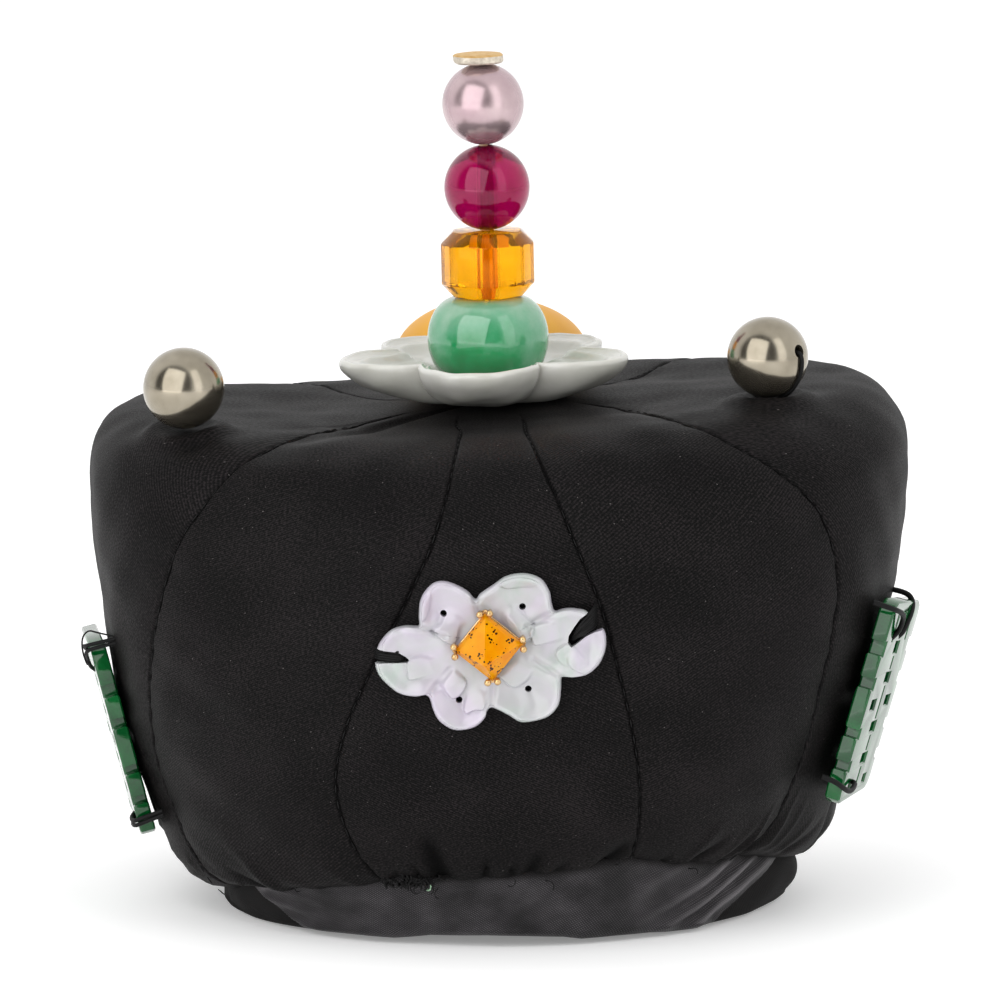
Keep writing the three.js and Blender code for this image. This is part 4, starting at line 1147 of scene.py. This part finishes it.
# raised blocks round the stone: x, y, half length, half width, direction in degrees, height
plaqueBlocks = [
    (-5.3, 2.6, 1.7, 1.2, 60, 0.8), (4.1, 3.4, 2.0, 1.1, 130, 0.85), (8.4, 1.6, 1.9, 1.0, 20, 0.7),
    (11.6, -2.1, 1.6, 1.1, -40, 0.6), (4.3, -3.9, 1.8, 1.2, 50, 0.8), (-1.8, -8.1, 1.5, 1.2, 100, 0.7),
    (-5.3, -5.0, 1.7, 1.2, 130, 0.8), (-9.4, -3.7, 1.8, 1.1, 10, 0.7), (-8.9, 6.2, 2.3, 0.6, 75, 0.5),
    (4.6, 8.9, 2.6, 0.6, -8, 0.5), (14.0, -2.6, 1.3, 1.6, 60, 0.35), (-13.2, 0.2, 1.8, 0.9, 25, 0.4),
]
# grooves from the valleys of the outline towards the stone
plaqueGrooves = [
    (-2.1, 6.4, -1.3, 4.2), (9.2, 4.9, 5.4, 2.6), (10.4, -4.7, 6.4, -2.2), (0.3, -9.2, 0.6, -5.0),
    (-8.9, -7.7, -5.6, -3.6), (-10.1, 2.6, -6.4, 1.2),
]


def plaqueMatrix():
    return seatMatrix(*plaqueSeat) @ Matrix.Translation((0, -plaque["drop"] * mm, 0))


def smoothLoop(corners, count):
    # a closed smooth line through the corners
    table = np.array(corners, float)
    place = np.linspace(0, len(table), count, endpoint=False)
    start = np.floor(place).astype(int)
    t = (place - start)[:, None]
    return between(*(table[(start + k) % len(table)] for k in (-1, 0, 1, 2)), t)


def plaqueRelief(x, y, inward):
    # height of the carved face above the plaque's back
    top = np.full(len(x), plaque["thickness"])
    top += 0.18 * softNoise(np.column_stack([x, y, 0 * x]), 6, 31)
    top -= 0.55 * (1 - bell(np.maximum(inward - 0.75, 0), 0.9, 1.5))
    for hx, hy in plaqueHoles:
        top -= 0.5 * bell(np.hypot(x - hx, y - hy), 1.7, 2.5)
    bend = 0.35 * softNoise(np.column_stack([x, y, 0 * x]), 4, 33)
    for bx, by, long, wide, turn, height in plaqueBlocks:
        c, d = math.cos(math.radians(turn)), math.sin(math.radians(turn))
        dx, dy = x + bend - bx, y - bend - by
        u, w = dx * c + dy * d, dy * c - dx * d
        side = np.where(w > 0, 1.25, 0.9) * wide
        lift = 1.45 - ((np.abs(u) / long) ** 4 + (np.abs(w) / side) ** 4) ** 0.25
        soft = np.clip(lift / (0.55 + 0.35 * np.clip(u / long, -1, 1)), 0, 1)
        tilt = 0.75 - 0.35 * np.clip(u / long, -1.2, 1.2) + 0.2 * np.clip(w / wide, -1.2, 1.2)
        clear = np.clip((np.hypot(x, y) - 3.2) / 1.6, 0, 1)  # none under the stone
        top += 0.85 * height * tilt * soft * soft * (3 - 2 * soft) * clear
    for x0, y0, x1, y1 in plaqueGrooves:
        dx, dy = x1 - x0, y1 - y0
        t = np.clip(((x - x0) * dx + (y - y0) * dy) / (dx * dx + dy * dy), 0, 1)
        top -= 0.45 * bell(np.hypot(x - x0 - t * dx, y - y0 - t * dy), 0.5)
    return top


def buildPlaque():
    line = smoothLoop(plaqueOutline, 1400)
    lineAngle = np.arctan2(line[:, 1], line[:, 0])
    order = np.argsort(lineAngle)
    lineAngle, lineReach = lineAngle[order], np.hypot(line[:, 0], line[:, 1])[order]

    def place(u, v):
        angle = 2 * math.pi * u - math.pi
        reach = np.interp(angle, lineAngle, lineReach, period=2 * math.pi)
        t, edge = plaque["thickness"], plaque["edge"]
        backEnd, sideEnd = plaque["backEnd"], plaque["sideEnd"]
        back = v < backEnd
        side = ~back & (v < sideEnd)
        turn = np.clip((v - backEnd) / (sideEnd - backEnd), 0, 1) * math.pi
        inner = np.where(back, v / backEnd, (1 - v) / (1 - sideEnd)) * (reach - edge)
        radius = np.where(side, reach - edge + edge * np.sin(turn), inner)
        x, y = radius * np.cos(angle), radius * np.sin(angle)
        near = np.full(len(x), 9.0)
        for k in range(0, len(line), 4):
            near = np.minimum(near, np.hypot(x - line[k, 0], y - line[k, 1]))
        top = plaqueRelief(x, y, near)
        z = np.where(back, 0.0, np.where(side, t / 2 - t / 2 * np.cos(turn), top))
        return np.column_stack([x, y, z]) * mm

    piece = wrappedGrid("carved_plaque", 480, 120, place)
    cleanMesh(piece, 0.01 * mm)
    for x, y in plaqueHoles:
        cutAway(piece, addRod(plaque["holeRadius"], 9, 24, (x, y, 0)))
    for corners in plaqueSlots:
        deselectAll()
        bpy.ops.mesh.primitive_circle_add(vertices=len(corners), radius=mm, fill_type="NGON")
        cutter = bpy.context.object
        setCoordinates(cutter, [(x * mm, y * mm, -2 * mm) for x, y in corners])
        editMesh(cutter)
        bpy.ops.mesh.extrude_region_move(TRANSFORM_OT_translate={"value": (0, 0, 8 * mm)})
        bpy.ops.mesh.select_all(action="SELECT")
        bpy.ops.mesh.normals_make_consistent(inside=False)
        objectMode()
        cutAway(piece, cutter)
    piece.data.transform(plaqueMatrix())
    smoothPiece(piece, 32)
    settle(piece, plaqueJade, ["flower_plaque"])


jewel = {
    "side": 6.95, "turn": 51.7, "floor": 2.9, "frameHeight": 1.0, "girdle": 0.9, "crown": 3.3,
    "apex": (-0.5, -2.0), "lug": 0.62,
    "clawRadius": 0.3, "clawBead": 0.52, "clawOut": 0.5, "clawIn": 0.5, "clawRise": 1.8,
}


def jewelMatrix():
    return plaqueMatrix() @ turnMatrix(jewel["turn"], "Z")


def buildStone():
    half = jewel["side"] / 2
    deselectAll()
    bpy.ops.mesh.primitive_cube_add(size=1)
    stone = bpy.context.object
    stone.name = "square_amber"
    bottom = jewel["floor"] + jewel["frameHeight"] + 0.3
    girdle = bottom + jewel["girdle"]
    levels = [(half - 0.4, bottom), (half, bottom + 0.4), (half, girdle), (half - 0.42, girdle + 0.55),
              (0.3, bottom + jewel["crown"])]
    points = coordinates(stone)
    low = points[:, 2] < 0
    size = np.where(low, levels[0][0], levels[1][0])
    flat = np.column_stack([np.sign(points[:, 0]) * size, np.sign(points[:, 1]) * size,
                            np.where(low, levels[0][1], levels[1][1])])
    setCoordinates(stone, flat * mm)
    apex = Matrix.Rotation(math.radians(-jewel["turn"]), 2) @ Vector(jewel["apex"])
    for k in range(2, len(levels)):
        # the top face is pulled up and drawn in
        editMesh(stone)
        bpy.ops.mesh.select_all(action="DESELECT")
        objectMode()
        highest = max(p.center.z for p in stone.data.polygons)
        for polygon in stone.data.polygons:
            polygon.select = polygon.center.z > highest - 1e-7
        bpy.ops.object.mode_set(mode="EDIT")
        bpy.ops.mesh.select_mode(type="FACE")
        ratio = levels[k][0] / levels[k - 1][0]
        middle = (0, 0, levels[k][1] * mm)
        step = (levels[k][1] - levels[k - 1][1]) * mm
        bpy.ops.mesh.extrude_region_move(TRANSFORM_OT_translate={"value": (0, 0, step)})
        bpy.ops.transform.resize(value=(ratio, ratio, 1), center_override=middle)
        if k == len(levels) - 1:
            bpy.ops.transform.translate(value=(apex.x * mm, apex.y * mm, 0))
        objectMode()
    wornRound(stone, 0.07, 2, 12)
    stone.data.transform(jewelMatrix())
    smoothPiece(stone, 12)
    settle(stone, stoneAmber, ["amber_stone"])


def buildSetting():
    half = jewel["side"] / 2
    floor = jewel["floor"]
    frameHeight = jewel["frameHeight"]
    bezel = addBlock(2 * (half + 0.1), frameHeight, floor + frameHeight / 2)
    cutAway(bezel, addBlock(2 * (half - 1.1), 4, floor + 0.5))
    wornRound(bezel, 0.12, 3, 30)
    parts = [bezel]
    top = floor + frameHeight + jewel["clawRise"]
    out, along = half + jewel["clawOut"], half - jewel["clawIn"]
    for corner in range(4):
        turn = turnMatrix(90 * corner, "Z")
        lug = turn @ Vector((half - 0.2, half - 0.2, 0))
        parts.append(addRod(jewel["lug"], frameHeight, 24, (lug.x, lug.y, floor + frameHeight / 2)))
        for x, y in ((along, out), (out, along)):
            claw = turn @ Vector((x, y, 0))
            parts.append(addRod(jewel["clawRadius"], top - floor, 16, (claw.x, claw.y, (top + floor) / 2)))
            deselectAll()
            bpy.ops.mesh.primitive_uv_sphere_add(segments=20, ring_count=12, radius=jewel["clawBead"] * mm,
                                                 location=(claw.x * mm, claw.y * mm, top * mm))
            bpy.ops.object.transform_apply(location=True, rotation=True, scale=True)
            parts.append(bpy.context.object)
    whole = joined("gold_claws", parts)
    whole.data.transform(jewelMatrix())
    smoothPiece(whole, 40)
    settle(whole, gold, ["stone_setting"])


buildPlaque()
buildStone()
buildSetting()
print("plaque, stone and claws made")


# fret plates: the part's own solids with their edges worn round

leftSeat = (3.5, -82, 0.2, 0, 0, 0.5)
rightSeat = (3.95, 74, 0.2, 0.6, 3.8, -6.5)
# how each plate hangs on its threads: turned a little, and shorter than it was cut, from its lower edge up
plateHang = {
    "fret_plate_left": {"seat": leftSeat, "lowerEdge": -14.6, "turn": 2, "tall": 0.935},
    "fret_plate_right": {"seat": rightSeat, "lowerEdge": -15.5, "turn": -3, "tall": 0.965},
}


def buildFretPlates():
    for name, worn in plateHang.items():
        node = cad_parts[name]
        plate = node.copy()
        plate.data = node.data.copy()
        bpy.context.collection.objects.link(plate)
        plate.parent = None
        plate.matrix_world = Matrix.Identity(4)
        plate.name = name.replace("fret_plate", "carved_fret")
        cleanMesh(plate, 0.01 * mm)
        editMesh(plate)
        bpy.ops.mesh.dissolve_limited(angle_limit=math.radians(1))
        objectMode()
        seat = seatMatrix(*worn["seat"]) @ Matrix.Translation((0, worn["lowerEdge"] * mm, 0))
        plate.data.transform(seat @ turnMatrix(worn["turn"], "Y") @ Matrix.Diagonal((1, worn["tall"], 1, 1))
                             @ seat.inverted())
        wornRound(plate, 0.32, 4, 30)
        smoothPiece(plate, 40)
        settle(plate, plateJade, [name])


buildFretPlates()
print("fret plates made")


# threads: seam stitches, the plates' and the plaque's ties, a pearl's knot and frayed ends

stitch = {"pitch": 2.3, "length": 1.4, "radius": 0.11, "sunk": 0.44, "sunkOnTop": 0.69, "endRadius": 18}


def buildSeamStitches():
    deselectAll()
    bpy.ops.mesh.primitive_uv_sphere_add(segments=6, ring_count=6, radius=1)
    model = bpy.context.object
    shape = coordinates(model) * (stitch["radius"], stitch["radius"], stitch["length"] / 2)
    setCoordinates(model, shape * mm)
    smoothPiece(model)
    rng = random.Random(21)
    copies = []
    rows = np.linspace(0.25, 13.6, 500)
    for line in seamAzimuths(rows):
        points, normals, _ = capPlaces(rows, line)
        points[:, 2] += edgeLift(rows, line, points[:, 2])
        walked = np.concatenate([[0], np.cumsum(np.linalg.norm(np.diff(points, axis=0), axis=1))])
        run = 0.8
        while run < walked[-1] - 1.5:
            at = np.array([np.interp(run, walked, points[:, k]) for k in range(3)])
            ahead = np.array([np.interp(run + 0.4, walked, points[:, k]) for k in range(3)])
            normal = np.array([np.interp(run, walked, normals[:, k]) for k in range(3)])
            sunk = stitch["sunkOnTop"] if at[2] > 66 else stitch["sunk"]
            copy = model.copy()
            copy.data = model.data.copy()
            bpy.context.collection.objects.link(copy)
            place = Matrix.Translation(Vector((at - normal * sunk) * mm))
            copy.data.transform(place @ upTurnedTo(ahead - at))
            copies.append(copy)
            run += stitch["pitch"] * rng.uniform(0.85, 1.15)
            if math.hypot(at[0] - capCentre[0], at[1] - capCentre[1]) < stitch["endRadius"]:
                break
    bpy.data.objects.remove(model)
    whole = joined("seam_stitches", copies)
    settle(whole, thread)


# each tie: a seat on the cap (row, azimuth, lift, pitch, turn, roll), its radius and its points there in mm
ties = [
    (rightSeat, 0.4, [(-14.4, 14.2, -1.4), (-13.9, 14.1, 0.6), (-12.6, 13.9, 2.0), (-9.5, 13.4, 2.7),
                      (-7.0, 12.4, 2.8), (-5.5, 10.0, 2.5), (-5.4, 8.6, 1.4)]),
    (rightSeat, 0.4, [(5.6, 14.7, -1.4), (5.5, 15.0, 0.8), (4.7, 14.2, 2.3), (3.2, 12.6, 2.7),
                      (1.6, 10.6, 2.6), (0.5, 9.2, 2.4), (0.2, 8.2, 1.4)]),
    (rightSeat, 0.4, [(-14.4, -12.2, -1.4), (-13.9, -12.4, 0.6), (-12.4, -13.2, 2.0), (-9.5, -13.8, 2.7),
                      (-6.6, -13.2, 2.8), (-4.2, -12.8, 2.5), (-3.4, -13.0, 1.4)]),
    (leftSeat, 0.3, [(13.0, 14.2, -2.4), (12.8, 14.3, 1.4), (11.6, 14.1, 2.6), (8.2, 13.6, 2.7),
                     (5.9, 12.6, 2.5), (5.8, 12.2, 1.4)]),
    (leftSeat, 0.3, [(13.0, 13.6, -2.4), (12.8, 13.7, 1.4), (11.8, 13.3, 2.6), (8.4, 12.0, 2.7),
                     (4.2, 9.2, 2.6), (1.2, 8.2, 1.4)]),
    (leftSeat, 0.13, [(13.2, 14.6, -2.0), (12.8, 15.8, 0.4), (11.8, 16.3, 1.4), (10.8, 15.4, 2.6),
                      (10.4, 13.4, 3.1), (10.8, 11.6, 3.0), (11.8, 11.2, 2.8), (12.2, 12.0, 2.7)]),
    (leftSeat, 0.32, [(12.9, -12.8, -2.0), (12.6, -13.2, 1.3), (11.4, -13.6, 2.6), (8.0, -13.4, 2.7),
                      (5.8, -13.0, 1.6)]),
    (leftSeat, 0.32, [(12.9, -12.2, -2.0), (12.6, -12.5, 1.3), (11.4, -12.9, 2.6), (8.0, -12.6, 2.7),
                      (5.8, -12.4, 1.6)]),
]
# loops round the plaque's slots: the left one lies flat across its whole width, the right one fans out
strandRandom = random.Random(17)
for offset in (-0.7, -0.35, 0.0, 0.35, 0.7):
    z = strandRandom.uniform(-0.1, 0.15)
    path = [(-11.7, -2.25 + offset * 0.5, -0.4), (-12.0, -2.2 + offset * 0.6, 1.2),
            (-13.0, -2.0 + offset * 0.9, 1.9 + z), (-14.3, -1.85 + offset, 2.0 + z),
            (-15.6, -1.75 + offset, 1.4 + z), (-16.2, -1.75 + offset, 0.2), (-16.3, -1.75 + offset, -0.8)]
    ties.append((plaqueSeat, 0.21, path))
for offset in (-1.2, -0.9, -0.6, -0.3, 0.0, 0.3, 0.6, 0.9):
    z = strandRandom.uniform(-0.15, 0.25)
    path = [(11.75, 0.1, -0.4), (11.9, 0.5 + offset * 0.1, 1.2), (12.5, 1.5 + offset * 0.5, 1.9 + z),
            (13.4, 2.4 + offset * 0.9, 2.1 + z), (14.4, 3.3 + offset * 1.2 + z / 2, 1.6 + z),
            (15.0, 3.8 + offset * 1.3, 0.3), (15.1, 4.0 + offset * 1.35, -0.9)]
    ties.append((plaqueSeat, 0.21, path))


def buildTies():
    # all the ties and the pearl's thread
    strands = []
    for seat, radius, points in ties:
        matrix = seatMatrix(*seat)
        placed = [matrix @ (Vector(point) * mm) for point in points]
        strands.append(threadAlong("tie", placed, radius * mm))
    strands += pearlThreads(shoulderPearls[1])
    whole = joined("tie_threads", strands)
    smoothPiece(whole)
    settle(whole, thread)


def pearlThreads(pearl):
    # a thread runs out of the drill hole and down the pearl into the cloth
    centre, normal = pearlCentre(pearl)
    bore = np.array(pearl["bore"]) / np.linalg.norm(pearl["bore"])
    down = -normal
    made = []
    for sign in (1, -1):
        path = [centre + sign * bore * 4.6, centre + sign * bore * 5.9]
        for k in range(1, 7):
            angle = k / 6
            arm = sign * bore * (1 - angle) + down * angle
            path.append(centre + arm / np.linalg.norm(arm) * (6.25 if k < 6 else 6.6))
        made.append(threadAlong("pearlThread", [Vector(p * mm) for p in path], 0.3 * mm))
    return made


# frayed ends that stick out of the hem: azimuth, height, length, turn in degrees, curl
frays = [
    (-17.5, 10.6, 2.6, 200, 0.9), (-15.8, 10.2, 3.0, 250, -0.7), (-13.4, 10.4, 2.2, 300, 0.8),
    (-12.6, 9.6, 2.6, 170, 0.8), (-10.6, 9.7, 2.0, 320, -0.8), (-8.8, 10.2, 1.9, 40, 0.9),
    (3.5, 9.8, 2.2, 350, 0.6), (10.5, 10.4, 2.4, 10, -0.6), (-19.5, 9.6, 2.0, 150, -0.8),
    (-42, 7.2, 2.4, 20, 0.8), (-38, 7.0, 1.8, 130, -0.7), (-14.5, 9.4, 2.8, 280, 0.5),
    (-11.8, 10.8, 1.8, 80, 0.7), (-9.5, 9.2, 2.2, 230, 0.8), (24, 12.2, 1.6, 40, 0.6),
    (40, 10.4, 1.8, 20, -0.6),
]


def frayStrand(azimuth, height, length, turn, curl, thick, rng):
    a = math.radians(azimuth)
    outward = Vector((math.sin(a), -math.cos(a), 0))
    side = Vector((math.cos(a), math.sin(a), 0))
    radius = np.hypot(*(capPoints([0.35], [a])[0][:2] - capCentre))
    here = Vector((capCentre[0], capCentre[1], height)) + outward * (radius - 0.45)
    path = [here - outward * 0.6]
    angle = math.radians(turn)
    for _ in range(6):
        path.append(here.copy())
        step = side * math.cos(angle) + Vector((0, 0, 1)) * math.sin(angle)
        here = here + step * length / 6 + outward * 0.12
        angle += curl * rng.uniform(0.5, 1.2)
    return threadAlong("fray", [p * mm for p in path], thick * mm, 1)


def buildFrays():
    rng = random.Random(7)
    strands = [frayStrand(*fray, 0.09, rng) for fray in frays]
    for _ in range(70):
        # the tuft left of the front, where the satin's raw edge shows
        azimuth = rng.gauss(-13.8, 2.6)
        height = 10.7 + rng.uniform(-1.1, 0.5) + 0.1 * (azimuth + 13.8)
        length, turn, curl = rng.uniform(0.8, 2.2), rng.uniform(0, 360), rng.uniform(-0.9, 0.9)
        strands.append(frayStrand(azimuth, height, length, turn, curl, rng.uniform(0.09, 0.22), rng))
    whole = joined("frayed_ends", strands)
    smoothPiece(whole)
    settle(whole, thread)
    green = frayStrand(-11.6, 9.15, 1.9, 335, 0.55, 0.13, rng)
    green.name = "green_thread_end"
    smoothPiece(green)
    settle(green, greenThread)


buildSeamStitches()
buildTies()
buildFrays()
print("threads made")

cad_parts["stack_pin"].data.materials.clear()
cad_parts["stack_pin"].data.materials.append(threadingCord)


# floor, lights and camera

stage = {
    "elevation": 9.0, "azimuth": 1.5, "distance": 1.6, "pixel": 0.147 * mm,
    # name, azimuth and elevation in degrees, width and height in metres at 1 m from the cap, watts
    "lamps": [("softboxLeft", -32, 22, (1.1, 1.5), 12.5), ("softboxRight", 44, 25, (0.4, 1.3), 1.6)],
    "dimAzimuth": -30, "dimElevation": 15, "dimReach": 56, "dimLevel": 0.05, "roomLevel": 1.08,
    "floorGlow": 0.22,
}


def directionOf(azimuth, elevation):
    # from the cap towards a place round it; azimuth 0 is in front
    a, e = math.radians(azimuth), math.radians(elevation)
    return Vector((math.sin(a) * math.cos(e), -math.cos(a) * math.cos(e), math.sin(e)))


def buildStage():
    deselectAll()
    bpy.ops.mesh.primitive_plane_add(size=6, location=(0, 0, -0.0002))
    floor = bpy.context.object
    floor.name = "floor"
    material, shader = newMaterial("paleFloor", Roughness=0.9)
    grain = addNode(material, "TexNoise", {"Scale": 40.0, "Detail": 2.0}).outputs["Fac"]
    paint = colourRamp(material, grain, [(0.0, "#fafafa"), (1.0, "#fdfdfd")])
    link(material, paint, shader.inputs["Base Color"])
    shader.inputs["Emission Color"].default_value = (1, 1, 1, 1)  # a lit table, as in a product studio
    shader.inputs["Emission Strength"].default_value = stage["floorGlow"]
    floor.data.materials.append(material)

    # white walls all round, with the dim side of the room behind the camera
    world = bpy.data.worlds.new("studio")
    bpy.context.scene.world = world
    world.use_nodes = True
    where = addNode(world, "TexCoord").outputs["Generated"]
    middle = directionOf(stage["dimAzimuth"], stage["dimElevation"])
    facingIt = addNode(world, "VectorMath", {1: middle}, {0: where}, operation="DOT_PRODUCT").outputs["Value"]
    room = addNode(world, "MapRange", {"From Min": math.cos(math.radians(stage["dimReach"] + 6)),
                                       "From Max": math.cos(math.radians(stage["dimReach"] - 6)),
                                       "To Min": stage["roomLevel"], "To Max": stage["dimLevel"]},
                   {"Value": facingIt}).outputs["Result"]
    seen = addNode(world, "LightPath").outputs["Is Camera Ray"]
    level = addNode(world, "Math", links={0: room, 1: seen}, operation="MAXIMUM").outputs[0]
    background = world.node_tree.nodes["Background"]
    background.inputs["Color"].default_value = (1, 1, 1, 1)
    link(world, level, background.inputs["Strength"])

    for name, azimuth, elevation, size, power in stage["lamps"]:
        place = directionOf(azimuth, elevation) + Vector((0, 0, 0.06))
        deselectAll()
        bpy.ops.object.light_add(type="AREA", location=place)
        lamp = bpy.context.object
        lamp.name = name
        lamp.data.shape = "RECTANGLE"
        lamp.data.size, lamp.data.size_y = size
        lamp.data.energy = power
        lamp.visible_camera = False
        lamp.rotation_euler = (Vector((0, 0, 0.06)) - place).to_track_quat("-Z", "Y").to_euler()

    forward = -directionOf(stage["azimuth"], stage["elevation"])
    right = forward.cross(Vector((0, 0, 1))).normalized()
    up = right.cross(forward)
    target = Vector((*capCentre, 60)) * mm + right * 0.37 * mm - up * 1.19 * mm
    deselectAll()
    bpy.ops.object.camera_add(location=target - forward * stage["distance"])
    camera = bpy.context.object
    camera.rotation_euler = forward.to_track_quat("-Z", "Y").to_euler()
    camera.data.sensor_width = 36
    camera.data.lens = 36 * stage["distance"] / (1000 * stage["pixel"])
    camera.data.clip_end = 30
    bpy.context.scene.camera = camera
    bpy.context.scene.view_settings.view_transform = "Standard"


buildStage()
print("stage made")
